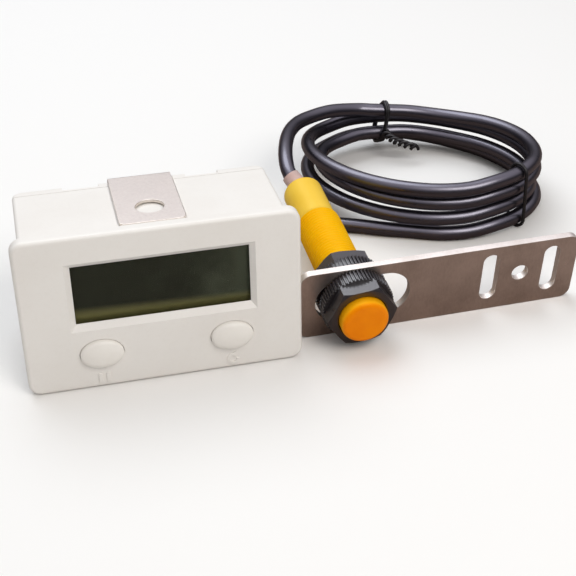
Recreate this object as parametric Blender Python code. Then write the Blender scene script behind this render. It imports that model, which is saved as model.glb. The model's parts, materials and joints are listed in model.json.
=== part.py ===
"""A magnetic induction counter: a small panel counter with a liquid crystal display and two keys,
its threaded pick-up sensor held in a slotted bracket by two plastic nuts, and the coiled lead
between them. Metres, +Z up; the counter looks along -Y and everything stands on z = 0."""
import math

import bmesh
import bpy
from mathutils import Vector

MM = 0.001
GAP = 0.3 * MM

# Counter: x from the bezel's left edge, y rearwards from its face, z up from its lower edge
BEZEL_WIDTH = 66.0 * MM
BEZEL_HEIGHT = 40.5 * MM
BEZEL_THICK = 3.0 * MM
BEZEL_CORNER = 3.0 * MM
BEZEL_ROUND = 1.0 * MM
CASE_INSET = 1.9 * MM
CASE_BOTTOM = 2.85 * MM
CASE_TOP = 37.6 * MM
CASE_EDGE = 0.9 * MM
SEAM = 29.9 * MM
COVER_REAR = 32.8 * MM
COVER_CORNER = 2.4 * MM
WALL = 1.6 * MM
FRONT_WALL = 2.4 * MM
NOTCH_SPANS = ((14.0 * MM, 22.8 * MM), (44.2 * MM, 52.4 * MM))
NOTCH_DEPTH = 2.0 * MM

WINDOW = (12.6 * MM, 53.8 * MM, 17.5 * MM, 32.5 * MM)
WINDOW_FRAME = (11.1 * MM, 55.2 * MM, 15.8 * MM, 33.9 * MM)
WINDOW_POCKET = (10.0 * MM, 56.2 * MM, 14.6 * MM, 35.0 * MM)
WINDOW_LIP = 1.3 * MM
WINDOW_THICK = 0.9 * MM
GLASS_THICK = 2.8 * MM

KEY_CENTRES = {"pause": 17.75 * MM, "reset": 48.7 * MM}
KEY_HEIGHT = 9.4 * MM
KEY_HALF_WIDTH = 5.1 * MM
KEY_HALF_HEIGHT = 3.9 * MM
KEY_CROWN = 1.0 * MM
KEY_FLANGE_BACK = 3.5 * MM
KEY_STEM_END = 4.3 * MM
SWITCH_FRONT = 5.6 * MM

CLIP_SPAN = (25.2 * MM, 40.7 * MM)
CLIP_THICK = 0.8 * MM
CLIP_FRONT = 6.5 * MM
CLIP_BEND = 1.3 * MM
CLIP_CORNER = 1.5 * MM
CLIP_HOLE = (33.2 * MM, 15.3 * MM)
CLIP_HOLE_RADIUS = 3.45 * MM

BOARD_FRONT = 9.2 * MM
BOARD_THICK = 1.6 * MM
BOARD_POSTS = [(x * MM, z * MM) for x in (7.1, 58.9) for z in (16.0, 26.0)]
COVER_POSTS = [(x * MM, 7.2 * MM) for x in (7.6, 58.4)]
POST_RADIUS = 2.4 * MM
CELL_RADIUS = 7.1 * MM
CELL_SPAN = (8.0 * MM, 57.2 * MM)
CELL_HEIGHT = 22.5 * MM
BAY = (5.8 * MM, 60.2 * MM, 14.4 * MM, 30.6 * MM)
BAY_FRONT = 17.0 * MM
BAY_WALL = 1.2 * MM
GLAND = (52.5 * MM, 8.8 * MM)
GLAND_RADIUS = 2.6 * MM
GLAND_END = 38.0 * MM

# The counter leans back on the bezel's lower rear edge and the lower leg of its clip
LEAN = math.radians(3.83)

# Sensor and bracket: x along the bracket, y rearwards from its front face, both from the
# sensor's axis; the bracket stands on its lower front edge and tips the sensor's tail up
SENSOR_AT = (80.8 * MM, 7.12 * MM, 10.415 * MM)
SENSOR_RISE = math.radians(4.7)
SENSOR_YAW = math.radians(1.42)
BRACKET_LEFT = -13.9 * MM
BRACKET_RIGHT = 59.8 * MM
BRACKET_BOTTOM = -10.45 * MM
BRACKET_TOP = 9.25 * MM
BRACKET_THICK = 2.0 * MM
BRACKET_CORNER = 2.8 * MM
SENSOR_SLOT = (-3.65 * MM, 8.3 * MM)
SENSOR_SLOT_RADIUS = 6.3 * MM
SMALL_SLOTS = (36.12 * MM, 52.74 * MM)
SMALL_SLOT_RADIUS = 2.15 * MM
SMALL_SLOT_REACH = 4.78 * MM
HOLE_X = 44.46 * MM
HOLE_RADIUS = 2.2 * MM

THREAD_RADIUS = 6.0 * MM
TAIL_RADIUS = 5.4 * MM
BARREL_BORE = 4.5 * MM
BARREL_FRONT = -6.8 * MM
THREAD_END = 31.8 * MM
BARREL_REAR = 47.8 * MM
RELIEF_BORE = 3.4 * MM
REAR_WALL = 2.4 * MM
CAP_FRONT = -9.14 * MM
CAP_ROUND = 1.0 * MM
NUT_FLANGE_RADIUS = 9.4 * MM
NUT_FLANGE_END = 3.4 * MM
NUT_END = 7.2 * MM
NUT_FLATS = 16.0 * MM
NUT_TURN = math.radians(3)
NUT_RIBS = 40
NUT_RIB_DEPTH = 0.4 * MM

# Lead: its free stretches and its coil of piled loops, seen from above with x and y as the table's
CABLE_RADIUS = 2.05 * MM
COIL_TURNS = 3.58
COIL_LAYERS = 4
LAYER_STEP = 4.6 * MM
CLIMB_TURNS = 0.5
NESTING = 1.7 * MM
SPIRAL_WIDTH = 3.9 * MM
COIL_CENTRE = (119.9 * MM, 71.0 * MM)
COIL_HALF_WIDTH = 31.2 * MM
COIL_HALF_DEPTH = 28.1 * MM
COIL_SKEW = 4.6 * MM
COIL_START_DEG = 98.0
LANDING_HEIGHT = 1.2 * MM
LANDING_TURNS = 0.12
# How far the loops wander off the true oval, each as height, rate per turn and phase
SWELL = (1.0 * MM, 6.2, 0.67)
DRIFT_X = (0.6 * MM, 3.65, 1.2)
DRIFT_Y = (0.8 * MM, 3.65, 3.6)
POINTS_PER_TURN = 24
TIE_RADIUS = 0.4 * MM
TIE_ANGLES = {"rear_coil_tie": 96.0, "side_coil_tie": -50.0}
TIE_LIFT = 2 * TIE_RADIUS + GAP
TIE_LIFT_SPREAD_DEG = 40.0
TIE_TWIST_RADIUS = 0.65 * MM
TIE_TWIST_LENGTH = 8.0 * MM
LEAD_ROUTE_MM = [(77.3, 62.4, 18.1), (77.8, 66.6, 19.2), (79.3, 72.6, 19.8), (82.2, 80.5, 19.5),
                 (86.4, 87.4, 18.7), (92.0, 92.4, 17.8), (99.3, 96.2, 17.0)]
TAIL_ROUTE_MM = [(93.0, 54.0, 2.1), (84.0, 57.0, 2.1), (74.0, 58.0, 2.1), (64.5, 56.6, 2.3),
                 (57.7, 52.2, 3.3)]

# The part's origin, on the table under the middle of the rigid pieces, in the same x and y
ORIGIN = Vector((70.3 * MM, 26.3 * MM, 0.0))

for old in list(bpy.data.objects):
    bpy.data.objects.remove(old, do_unlink=True)


def material(name, colour, roughness, metallic=0.0, alpha=1.0):
    """A plain Principled finish in the part's own colour."""
    made = bpy.data.materials.new(name)
    made.use_nodes = True
    shader = made.node_tree.nodes["Principled BSDF"]
    shader.inputs["Base Color"].default_value = (*colour, 1.0)
    shader.inputs["Roughness"].default_value = roughness
    shader.inputs["Metallic"].default_value = metallic
    shader.inputs["Alpha"].default_value = alpha
    made.diffuse_color = (*colour, alpha)
    return made


WHITE_ABS = material("white_abs", (0.87, 0.85, 0.83), 0.45)
KEY_WHITE = material("key_white", (0.86, 0.83, 0.81), 0.4)
CLEAR = material("clear_acrylic", (0.75, 0.80, 0.78), 0.08, alpha=0.35)
DISPLAY = material("display_dark", (0.03, 0.035, 0.025), 0.12)
HOLDER_WHITE = material("holder_white", (0.80, 0.80, 0.78), 0.5)
RUBBER_GREY = material("rubber_grey", (0.25, 0.25, 0.27), 0.7)
BOARD_GREEN = material("board_green", (0.03, 0.16, 0.06), 0.5)
SWITCH_BLACK = material("switch_black", (0.02, 0.02, 0.02), 0.5)
STEEL = material("zinc_steel", (0.62, 0.60, 0.58), 0.3, 1.0)
CLIP_STEEL = material("clip_steel", (0.70, 0.67, 0.65), 0.35, 1.0)
CELL_SLEEVE = material("cell_sleeve", (0.10, 0.22, 0.12), 0.35)
BARREL_YELLOW = material("barrel_yellow", (0.85, 0.48, 0.01), 0.4)
CAP_ORANGE = material("cap_orange", (0.80, 0.20, 0.01), 0.4)
NUT_BLACK = material("nut_black", (0.03, 0.03, 0.033), 0.45)
RELIEF_GREY = material("relief_grey", (0.36, 0.28, 0.27), 0.5)
CABLE_BLACK = material("cable_black", (0.03, 0.028, 0.03), 0.38)
TIE_BLACK = material("tie_black", (0.02, 0.02, 0.02), 0.45)


def empty(name, location, rotation=(0.0, 0.0, 0.0), parent=None):
    """A frame that a group of pieces is built in."""
    made = bpy.data.objects.new(name, None)
    bpy.context.collection.objects.link(made)
    made.location = location
    made.rotation_euler = rotation
    made.parent = parent
    return made


TABLE = empty("table_frame", -ORIGIN)
COUNTER = empty("counter_frame", (0, BEZEL_THICK, 0), (-LEAN, 0, 0), TABLE)
SENSOR = empty("sensor_frame", SENSOR_AT, (SENSOR_RISE, 0, SENSOR_YAW), TABLE)
IN_COUNTER = Vector((0, -BEZEL_THICK, 0))


def piece(name, solid, finish, parent, origin=(0, 0, 0)):
    """One object from a bmesh drawn in its parent's coordinates, with its own origin there."""
    mesh = bpy.data.meshes.new(name)
    bmesh.ops.recalc_face_normals(solid, faces=solid.faces)
    bmesh.ops.translate(solid, verts=solid.verts, vec=-Vector(origin))
    solid.to_mesh(mesh)
    solid.free()
    mesh.shade_smooth()
    mesh.set_sharp_from_angle(angle=math.radians(35))
    made = bpy.data.objects.new(name, mesh)
    bpy.context.collection.objects.link(made)
    made.location = Vector(origin) + (IN_COUNTER if parent == COUNTER else Vector())
    made.parent = parent
    if finish:
        mesh.materials.append(finish)
    return made


def together(solids):
    """Separate solids in one bmesh."""
    whole = bmesh.new()
    for solid in solids:
        mesh = bpy.data.meshes.new("solid")
        solid.to_mesh(mesh)
        solid.free()
        whole.from_mesh(mesh)
        bpy.data.meshes.remove(mesh)
    return whole


def shape_with(target, solids, operation="DIFFERENCE"):
    """Cuts the solids from the target, or joins them to it, with one hidden tool."""
    tool = piece(f"{target.name}_tool_{len(target.modifiers)}", together(solids), None,
                 target.parent)
    tool.hide_render = True
    tool.display_type = 'WIRE'
    step = target.modifiers.new(operation.title(), 'BOOLEAN')
    step.operation = operation
    step.object = tool
    return tool


def arc(centre, radius, start_deg, end_deg, steps):
    """Points along a round stretch, in the outline's own plane."""
    turn = [math.radians(start_deg + (end_deg - start_deg) * k / steps) for k in range(steps + 1)]
    return [(centre[0] + radius * math.cos(t), centre[1] + radius * math.sin(t)) for t in turn]


def rounded_rectangle(x0, x1, z0, z1, radius, steps=5):
    corners = ((x1 - radius, z0 + radius, -90), (x1 - radius, z1 - radius, 0),
               (x0 + radius, z1 - radius, 90), (x0 + radius, z0 + radius, 180))
    return [p for cx, cz, a in corners for p in arc((cx, cz), radius, a, a + 90, steps)]


def rectangle(x0, x1, z0, z1):
    return [(x0, z0), (x1, z0), (x1, z1), (x0, z1)]


def ellipse(centre, half_width, half_height, steps=32):
    turn = [2 * math.pi * k / steps for k in range(steps)]
    return [(centre[0] + half_width * math.cos(t), centre[1] + half_height * math.sin(t))
            for t in turn]


def obround(low, high, radius, steps=12):
    """A slot with round ends between two centres, along x or along z."""
    heading = math.degrees(math.atan2(high[1] - low[1], high[0] - low[0]))
    return arc(high, radius, heading - 90, heading + 90, steps) + \
        arc(low, radius, heading + 90, heading + 270, steps)


AXES = {"x": (1, 2, 0), "y": (0, 2, 1), "z": (0, 1, 2)}


def loft(sections, along="y"):
    """A closed solid through outlines of equal length, each given with its place on the axis."""
    first, second, depth = AXES[along]
    solid = bmesh.new()
    rings = []
    for place, outline in sections:
        ring = []
        for point in outline:
            spot = [0.0, 0.0, 0.0]
            spot[first], spot[second], spot[depth] = point[0], point[1], place
            ring.append(solid.verts.new(spot))
        rings.append(ring)
    for low, high in zip(rings, rings[1:]):
        for k, corner in enumerate(low):
            n = (k + 1) % len(low)
            solid.faces.new((corner, low[n], high[n], high[k]))
    solid.faces.new(rings[0])
    solid.faces.new(rings[-1][::-1])
    return solid


def prism(outline, low, high, along="y"):
    return loft([(low, outline), (high, outline)], along)


def block(x0, x1, y0, y1, z0, z1):
    return prism(rectangle(x0, x1, z0, z1), y0, y1)


def drum(centre, radius, low, high, along="y", steps=24):
    return prism(ellipse(centre, radius, radius, steps), low, high, along)


def round_stack(centre, stages, along="y", steps=24):
    """A solid of round sections on one axis, from (place, radius) stages."""
    return loft([(place, ellipse(centre, r, r, steps)) for place, r in stages], along)


def drawn_in(outline, inset_x, inset_z):
    """The outline scaled about its middle so that it loses an inset on each side."""
    xs, zs = [p[0] for p in outline], [p[1] for p in outline]
    mid_x, mid_z = (min(xs) + max(xs)) / 2, (min(zs) + max(zs)) / 2
    share_x = 1 - inset_x / (max(xs) - mid_x)
    share_z = 1 - inset_z / (max(zs) - mid_z)
    return [(mid_x + (x - mid_x) * share_x, mid_z + (z - mid_z) * share_z) for x, z in outline]


def ring_solid(profile, steps):
    """A turned ring: a closed profile of (y, radius) points carried round the y axis."""
    solid = bmesh.new()
    rings = []
    for k in range(steps):
        t = 2 * math.pi * k / steps
        rings.append([solid.verts.new((r * math.cos(t), y, r * math.sin(t))) for y, r in profile])
    for k, near in enumerate(rings):
        far = rings[(k + 1) % steps]
        for i, corner in enumerate(near):
            j = (i + 1) % len(near)
            solid.faces.new((corner, near[j], far[j], far[i]))
    return solid


def round_rim(face, side, radius, edge, steps=4):
    """Profile points of a rounded rim, from the side wall to the end face."""
    quarter = [math.pi / 2 * k / steps for k in range(steps + 1)]
    return [(face - side * edge * (1 - math.sin(t)), radius - edge * (1 - math.cos(t)))
            for t in quarter]


def tube(name, spots, radius, rounding, finish, parent, widths=None):
    """A round bar along a run of points, closed at both ends."""
    curve = bpy.data.curves.new(name, 'CURVE')
    curve.dimensions = '3D'
    curve.bevel_depth = radius
    curve.bevel_resolution = rounding
    curve.use_fill_caps = True
    line = curve.splines.new('POLY')
    line.points.add(len(spots) - 1)
    for k, spot in enumerate(spots):
        line.points[k].co = (*spot, 1.0)
        line.points[k].radius = widths[k] if widths else 1.0
    curve.materials.append(finish)
    made = bpy.data.objects.new(name, curve)
    bpy.context.collection.objects.link(made)
    made.parent = parent
    return made


# Front housing: the bezel and the case behind it in one moulding, with the screw posts
def front_housing():
    outline = rounded_rectangle(0, BEZEL_WIDTH, 0, BEZEL_HEIGHT, BEZEL_CORNER)
    bezel = []
    for k in range(4):
        t = math.pi / 2 * k / 3
        inset = BEZEL_ROUND * (1 - math.sin(t))
        bezel.append((BEZEL_ROUND * (1 - math.cos(t)), drawn_in(outline, inset, inset)))
    housing = piece("front_housing", loft(bezel + [(BEZEL_THICK, outline)]), WHITE_ABS, COUNTER)
    left, right = CASE_INSET, BEZEL_WIDTH - CASE_INSET
    case = rounded_rectangle(left, right, CASE_BOTTOM, CASE_TOP, CASE_EDGE, 3)
    inside = rounded_rectangle(left + WALL, right - WALL, CASE_BOTTOM + WALL, CASE_TOP - WALL,
                               CASE_EDGE / 2, 2)
    shape_with(housing, [prism(case, BEZEL_THICK / 2, SEAM)], "UNION")
    shape_with(housing, [prism(inside, FRONT_WALL, SEAM + MM)])
    posts = [drum(p, POST_RADIUS, FRONT_WALL / 2, SEAM - GAP, steps=16) for p in COVER_POSTS]
    posts += [drum(p, 2.0 * MM, FRONT_WALL / 2, BOARD_FRONT - GAP, steps=16) for p in BOARD_POSTS]
    shape_with(housing, posts, "UNION")
    screw_holes = [drum(p, 1.3 * MM, SEAM - 8 * MM, SEAM + MM, steps=12) for p in COVER_POSTS]
    screw_holes += [drum(p, 1.3 * MM, FRONT_WALL + MM, BOARD_FRONT + MM, steps=12)
                    for p in BOARD_POSTS]
    snap_pockets = [block(a + 0.9 * MM, b - 0.9 * MM, SEAM - 5.2 * MM, SEAM - 2.2 * MM,
                          CASE_TOP - WALL - MM, CASE_TOP - 0.6 * MM) for a, b in NOTCH_SPANS]
    shape_with(housing, [window_opening()] + key_openings() + screw_holes + snap_pockets)
    shape_with(housing, [prism(rounded_rectangle(*WINDOW_POCKET, 0.8 * MM, 3), WINDOW_LIP,
                               FRONT_WALL + MM)] + clip_channels())


def window_opening():
    """The display opening, whose edges slope in from the bezel's face."""
    return loft([(-0.1 * MM, rectangle(*WINDOW_FRAME)), (WINDOW_LIP - 0.1 * MM, rectangle(*WINDOW)),
                 (WINDOW_LIP + 0.5 * MM, rectangle(*WINDOW))])


def key_openings():
    return [prism(ellipse((x, KEY_HEIGHT), KEY_HALF_WIDTH + GAP, KEY_HALF_HEIGHT + GAP),
                  -MM, FRONT_WALL + MM) for x in KEY_CENTRES.values()]


def clip_channels():
    """Shallow tracks in the case's top and bottom that the clip's legs run in."""
    low, high = CLIP_SPAN[0] - GAP, CLIP_SPAN[1] + GAP
    return [block(low, high, CLIP_FRONT - GAP, COVER_REAR + MM, CASE_TOP - GAP, CASE_TOP + MM),
            block(low, high, CLIP_FRONT - GAP, COVER_REAR + MM, CASE_BOTTOM - MM, CASE_BOTTOM + GAP)]


# Rear cover: a lid of the case's outline with the cell's tray and two snap tongues
def rear_cover():
    left, right = CASE_INSET, BEZEL_WIDTH - CASE_INSET
    outline = rounded_rectangle(left, right, CASE_BOTTOM, CASE_TOP, CASE_EDGE, 3)
    lid = [(SEAM + GAP, outline)]
    for k in range(6):
        t = math.pi / 2 * k / 5
        inset = COVER_CORNER * (1 - math.cos(t))
        lid.append((COVER_REAR - COVER_CORNER * (1 - math.sin(t)),
                    drawn_in(outline, inset, 0.25 * inset)))
    cover = piece("rear_cover", loft(lid), WHITE_ABS, COUNTER)
    x0, x1, z0, z1 = BAY
    inner_face = SEAM + GAP
    tray = block(x0 - BAY_WALL, x1 + BAY_WALL, BAY_FRONT, inner_face + MM,
                 z0 - BAY_WALL, z1 + BAY_WALL)
    tongue_top = CASE_TOP - WALL - GAP
    shape_with(cover, [tray], "UNION")
    tongues = []
    for a, b in NOTCH_SPANS:
        hooked = [(inner_face + MM, tongue_top - 1.2 * MM), (inner_face + MM, tongue_top),
                  (SEAM - 2.5 * MM, tongue_top), (SEAM - 2.5 * MM, tongue_top + MM),
                  (SEAM - 4.6 * MM, tongue_top), (SEAM - 5.0 * MM, tongue_top - 1.2 * MM)]
        tongues.append(prism(hooked, a + 1.4 * MM, b - 1.4 * MM, "x"))
    shape_with(cover, tongues, "UNION")
    hollow = block(x0, x1, BAY_FRONT - MM, inner_face, z0, z1)
    notches = [block(a, b, COVER_REAR - NOTCH_DEPTH, COVER_REAR + MM, CASE_TOP - 2.2 * MM,
                     CASE_TOP + MM) for a, b in NOTCH_SPANS]
    screw_holes = [round_stack(p, [(SEAM - MM, 1.4 * MM), (COVER_REAR - 1.2 * MM, 1.4 * MM),
                                   (COVER_REAR - 1.2 * MM, 2.4 * MM), (COVER_REAR + MM, 2.4 * MM)],
                               steps=16) for p in COVER_POSTS]
    gland_hole = drum(GLAND, GLAND_RADIUS + GAP, SEAM - MM, COVER_REAR + MM)
    shape_with(cover, [hollow, gland_hole] + notches + screw_holes)
    track = block(CLIP_SPAN[0] - GAP, CLIP_SPAN[1] + GAP, COVER_REAR - GAP, COVER_REAR + MM,
                  CASE_BOTTOM - MM, CASE_TOP + MM)
    shape_with(cover, [track])
    shape_with(cover, clip_channels())


def battery():
    """One AA cell in the tray, between its flat contact and its spring."""
    axis = (SEAM - CELL_RADIUS, CELL_HEIGHT)
    start, end = CELL_SPAN
    stages = [(start - MM, 2.6 * MM), (start, 2.6 * MM), (start, 5.5 * MM),
              (start + 0.6 * MM, CELL_RADIUS), (end - 0.6 * MM, CELL_RADIUS),
              (end, CELL_RADIUS - 0.6 * MM)]
    piece("battery_cell", round_stack(axis, stages, "x", 28), CELL_SLEEVE, COUNTER)
    half = 5 * MM
    plate = rounded_rectangle(axis[0] - half, axis[0] + half, axis[1] - half, axis[1] + half, MM, 3)
    piece("battery_contact", prism(plate, BAY[0] + GAP, BAY[0] + 0.9 * MM, "x"), STEEL, COUNTER)
    turns, wire = 2.5, 0.3 * MM
    steps = round(turns * 12)
    near, far = BAY[1] - GAP - wire, end + GAP + wire
    spots = []
    for k in range(steps + 1):
        share = k / steps
        t, r = 2 * math.pi * turns * share, (4.6 - 2.4 * share) * MM
        spots.append(Vector((near + (far - near) * share, axis[0] + r * math.cos(t),
                             axis[1] + r * math.sin(t))) + IN_COUNTER)
    tube("battery_spring", spots, wire, 1, STEEL, COUNTER)


# Display: clear window, glass cell in its holder, rubber connector strip and circuit board
def display_stack():
    fit = GAP
    x0, x1, z0, z1 = WINDOW_POCKET
    window_front = WINDOW_LIP + GAP
    pane = rounded_rectangle(x0 + fit, x1 - fit, z0 + fit, z1 - fit, 0.8 * MM, 3)
    piece("display_window", prism(pane, window_front, window_front + WINDOW_THICK), CLEAR, COUNTER)
    glass_front = window_front + WINDOW_THICK + GAP
    glass_back = glass_front + GLASS_THICK
    glass = (x0 + 1.6 * MM, x1 - 1.6 * MM, z0 + 1.4 * MM, z1 - 1.2 * MM)
    piece("display_glass", block(*glass[:2], glass_front, glass_back, *glass[2:]), DISPLAY, COUNTER)
    frame = rounded_rectangle(x0 + fit, x1 - fit, z0 + fit, z1 - fit, 0.8 * MM, 3)
    holder = piece("display_holder", prism(frame, glass_front, BOARD_FRONT - GAP), HOLDER_WHITE,
                   COUNTER)
    shape_with(holder, [block(glass[0] - fit, glass[1] + fit, 0, BOARD_FRONT + MM,
                              glass[2] - fit, glass[3] + fit)])
    strip = block(13 * MM, 53 * MM, glass_back + GAP, BOARD_FRONT - GAP, 16.4 * MM, 18.8 * MM)
    piece("elastomer_strip", strip, RUBBER_GREY, COUNTER)


def circuit_board():
    """The board, cut clear of the cover's posts, with the counter chip under its black drop."""
    back = BOARD_FRONT + BOARD_THICK
    board = piece("circuit_board", block(4.2 * MM, 61.8 * MM, BOARD_FRONT, back, 5.0 * MM, 35.0 * MM),
                  BOARD_GREEN, COUNTER)
    post_cuts = [block(x - 3.2 * MM, x + 3.2 * MM, 0, SEAM, z - 3.2 * MM, z + 3.2 * MM)
                 for x, z in COVER_POSTS]
    screw_holes = [drum(p, 1.4 * MM, 0, SEAM, steps=12) for p in BOARD_POSTS]
    shape_with(board, post_cuts + screw_holes)
    drop = [(0, 2.9), (0.5, 2.7), (0.9, 2.0), (1.1, 1.0)]
    stages = [(back + GAP + h * MM, r * MM) for h, r in drop]
    piece("counter_chip", round_stack((36 * MM, 9.0 * MM), stages, steps=20), SWITCH_BLACK, COUNTER)


# Keys: a domed cap with its flange behind the bezel, a plunger and the switch it works
def key(name, x):
    centre = (x, KEY_HEIGHT)
    dome = []
    for k in range(6):
        t = math.pi / 2 * k / 5
        share = math.sin(t) if k else 0.12
        dome.append((-KEY_CROWN * math.cos(t),
                     ellipse(centre, KEY_HALF_WIDTH * share, KEY_HALF_HEIGHT * share)))
    flange_front = FRONT_WALL + GAP
    wide, high = KEY_HALF_WIDTH + 1.0 * MM, KEY_HALF_HEIGHT + 0.6 * MM
    stem = 1.6 * MM
    body = dome + [(flange_front, ellipse(centre, KEY_HALF_WIDTH, KEY_HALF_HEIGHT)),
                   (flange_front, ellipse(centre, wide, high)),
                   (KEY_FLANGE_BACK, ellipse(centre, wide, high)),
                   (KEY_FLANGE_BACK, ellipse(centre, stem, stem)),
                   (KEY_STEM_END, ellipse(centre, stem, stem))]
    origin = (x, 0, KEY_HEIGHT)
    piece(f"{name}_button", loft(body), KEY_WHITE, COUNTER, origin)
    plunger = drum(centre, stem, KEY_STEM_END + GAP, SWITCH_FRONT + 0.5 * MM, steps=20)
    piece(f"{name}_plunger", plunger, SWITCH_BLACK, COUNTER, origin)
    half = 3.0 * MM
    outline = rounded_rectangle(x - half, x + half, KEY_HEIGHT - half, KEY_HEIGHT + half,
                                0.4 * MM, 2)
    switch = piece(f"{name}_switch", prism(outline, SWITCH_FRONT, BOARD_FRONT - GAP), SWITCH_BLACK,
                   COUNTER)
    shape_with(switch, [drum(centre, stem + GAP, 0, SWITCH_FRONT + 1.4 * MM, steps=20)])


def screws(name, spots, seat, length):
    """Pan head screws driven from behind."""
    head, shank = 2.0 * MM, 1.0 * MM
    stages = [(seat + 0.9 * MM, head * 0.55), (seat + 0.75 * MM, head * 0.9),
              (seat + 0.35 * MM, head), (seat, head), (seat, shank), (seat - length, shank),
              (seat - length - 0.8 * MM, shank * 0.3)]
    for number, spot in enumerate(spots, 1):
        piece(f"{name}_{number}", round_stack(spot, stages, steps=14), STEEL, COUNTER)


# Panel clip: a bent steel strap that grips the case from behind, with a hole in each leg
def panel_clip():
    top_in, low_in = CASE_TOP, CASE_BOTTOM
    top_out, low_out = top_in + CLIP_THICK, low_in - CLIP_THICK
    rear_out, rear_in = COVER_REAR + CLIP_THICK, COVER_REAR
    bend, small = CLIP_BEND, CLIP_BEND - CLIP_THICK
    strap = [(CLIP_FRONT, top_out)]
    strap += arc((rear_out - bend, top_out - bend), bend, 90, 0, 5)
    strap += arc((rear_out - bend, low_out + bend), bend, 0, -90, 5)
    strap += [(CLIP_FRONT, low_out), (CLIP_FRONT, low_in)]
    strap += arc((rear_in - small, low_in + small), small, -90, 0, 3)
    strap += arc((rear_in - small, top_in - small), small, 0, 90, 3)
    strap += [(CLIP_FRONT, top_in)]
    clip = piece("panel_clip", prism(strap, *CLIP_SPAN, "x"), CLIP_STEEL, COUNTER)
    low, high = low_out - MM, top_out + MM
    cuts = [drum(CLIP_HOLE, CLIP_HOLE_RADIUS, low, high, "z", 32)]
    for x, away in zip(CLIP_SPAN, (-1, 1)):
        base = x - away * CLIP_CORNER
        turn = [(base + away * CLIP_CORNER * math.sin(t), CLIP_FRONT + CLIP_CORNER * (1 - math.cos(t)))
                for t in (math.pi / 2 * k / 5 for k in range(6))]
        outside = [(x + away * MM, CLIP_FRONT + CLIP_CORNER), (x + away * MM, CLIP_FRONT - MM),
                   (base, CLIP_FRONT - MM)]
        cuts.append(prism(turn + outside, low, high, "z"))
    shape_with(clip, cuts)


def cable_gland():
    """The rubber bush that the lead enters the rear cover through."""
    stages = [(SEAM - 0.8 * MM, 3.5 * MM), (SEAM, 3.5 * MM), (SEAM, GLAND_RADIUS),
              (COVER_REAR + GAP, GLAND_RADIUS), (COVER_REAR + GAP, 4.0 * MM),
              (COVER_REAR + 1.5 * MM, 3.9 * MM), (GLAND_END, 2.7 * MM)]
    piece("cable_gland", round_stack(GLAND, stages), RUBBER_GREY, COUNTER)


# Bracket: a flat steel strip with the sensor's slot, two adjusting slots and a hole
def bracket_plate():
    outline = rounded_rectangle(BRACKET_LEFT, BRACKET_RIGHT, BRACKET_BOTTOM, BRACKET_TOP,
                                BRACKET_CORNER, 6)
    plate = piece("bracket_plate", prism(outline, 0, BRACKET_THICK), STEEL, SENSOR)
    cuts = [obround((SENSOR_SLOT[0], 0), (SENSOR_SLOT[1], 0), SENSOR_SLOT_RADIUS, 16)]
    cuts += [obround((x, -SMALL_SLOT_REACH), (x, SMALL_SLOT_REACH), SMALL_SLOT_RADIUS, 8)
             for x in SMALL_SLOTS]
    cuts += [ellipse((HOLE_X, 0), HOLE_RADIUS, HOLE_RADIUS, 24)]
    shape_with(plate, [prism(c, -MM, BRACKET_THICK + MM) for c in cuts])


# Sensor: threaded plastic barrel, orange cap on its sensing end, reed switch on its board
def sensor():
    edge = 0.5 * MM
    outside = [(BARREL_FRONT, THREAD_RADIUS - edge), (BARREL_FRONT + edge, THREAD_RADIUS),
               (THREAD_END - edge, THREAD_RADIUS), (THREAD_END, TAIL_RADIUS)]
    outside += round_rim(BARREL_REAR, 1, TAIL_RADIUS, 1.2 * MM)
    inside = [(BARREL_REAR, RELIEF_BORE), (BARREL_REAR - REAR_WALL, RELIEF_BORE),
              (BARREL_REAR - REAR_WALL, BARREL_BORE), (BARREL_FRONT, BARREL_BORE)]
    piece("sensor_barrel", ring_solid(outside + inside, 48), BARREL_YELLOW, SENSOR)
    plug = BARREL_BORE - GAP
    cap = round_rim(CAP_FRONT, -1, THREAD_RADIUS, CAP_ROUND)[::-1]
    cap += [(BARREL_FRONT - GAP, THREAD_RADIUS), (BARREL_FRONT - GAP, plug),
            (BARREL_FRONT + 2.0 * MM, plug)]
    piece("sensing_cap", round_stack((0, 0), cap, steps=48), CAP_ORANGE, SENSOR)
    board = block(-3.3 * MM, 3.3 * MM, -4.0 * MM, 30.0 * MM, -1.5 * MM, -0.5 * MM)
    piece("sensor_board", board, BOARD_GREEN, SENSOR)
    reed = [(-3.8 * MM, 0.5 * MM), (-2.8 * MM, 1.1 * MM), (9.0 * MM, 1.1 * MM),
            (10.0 * MM, 0.5 * MM)]
    piece("reed_switch", round_stack((0, MM), reed, steps=14), CLEAR, SENSOR)


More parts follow.
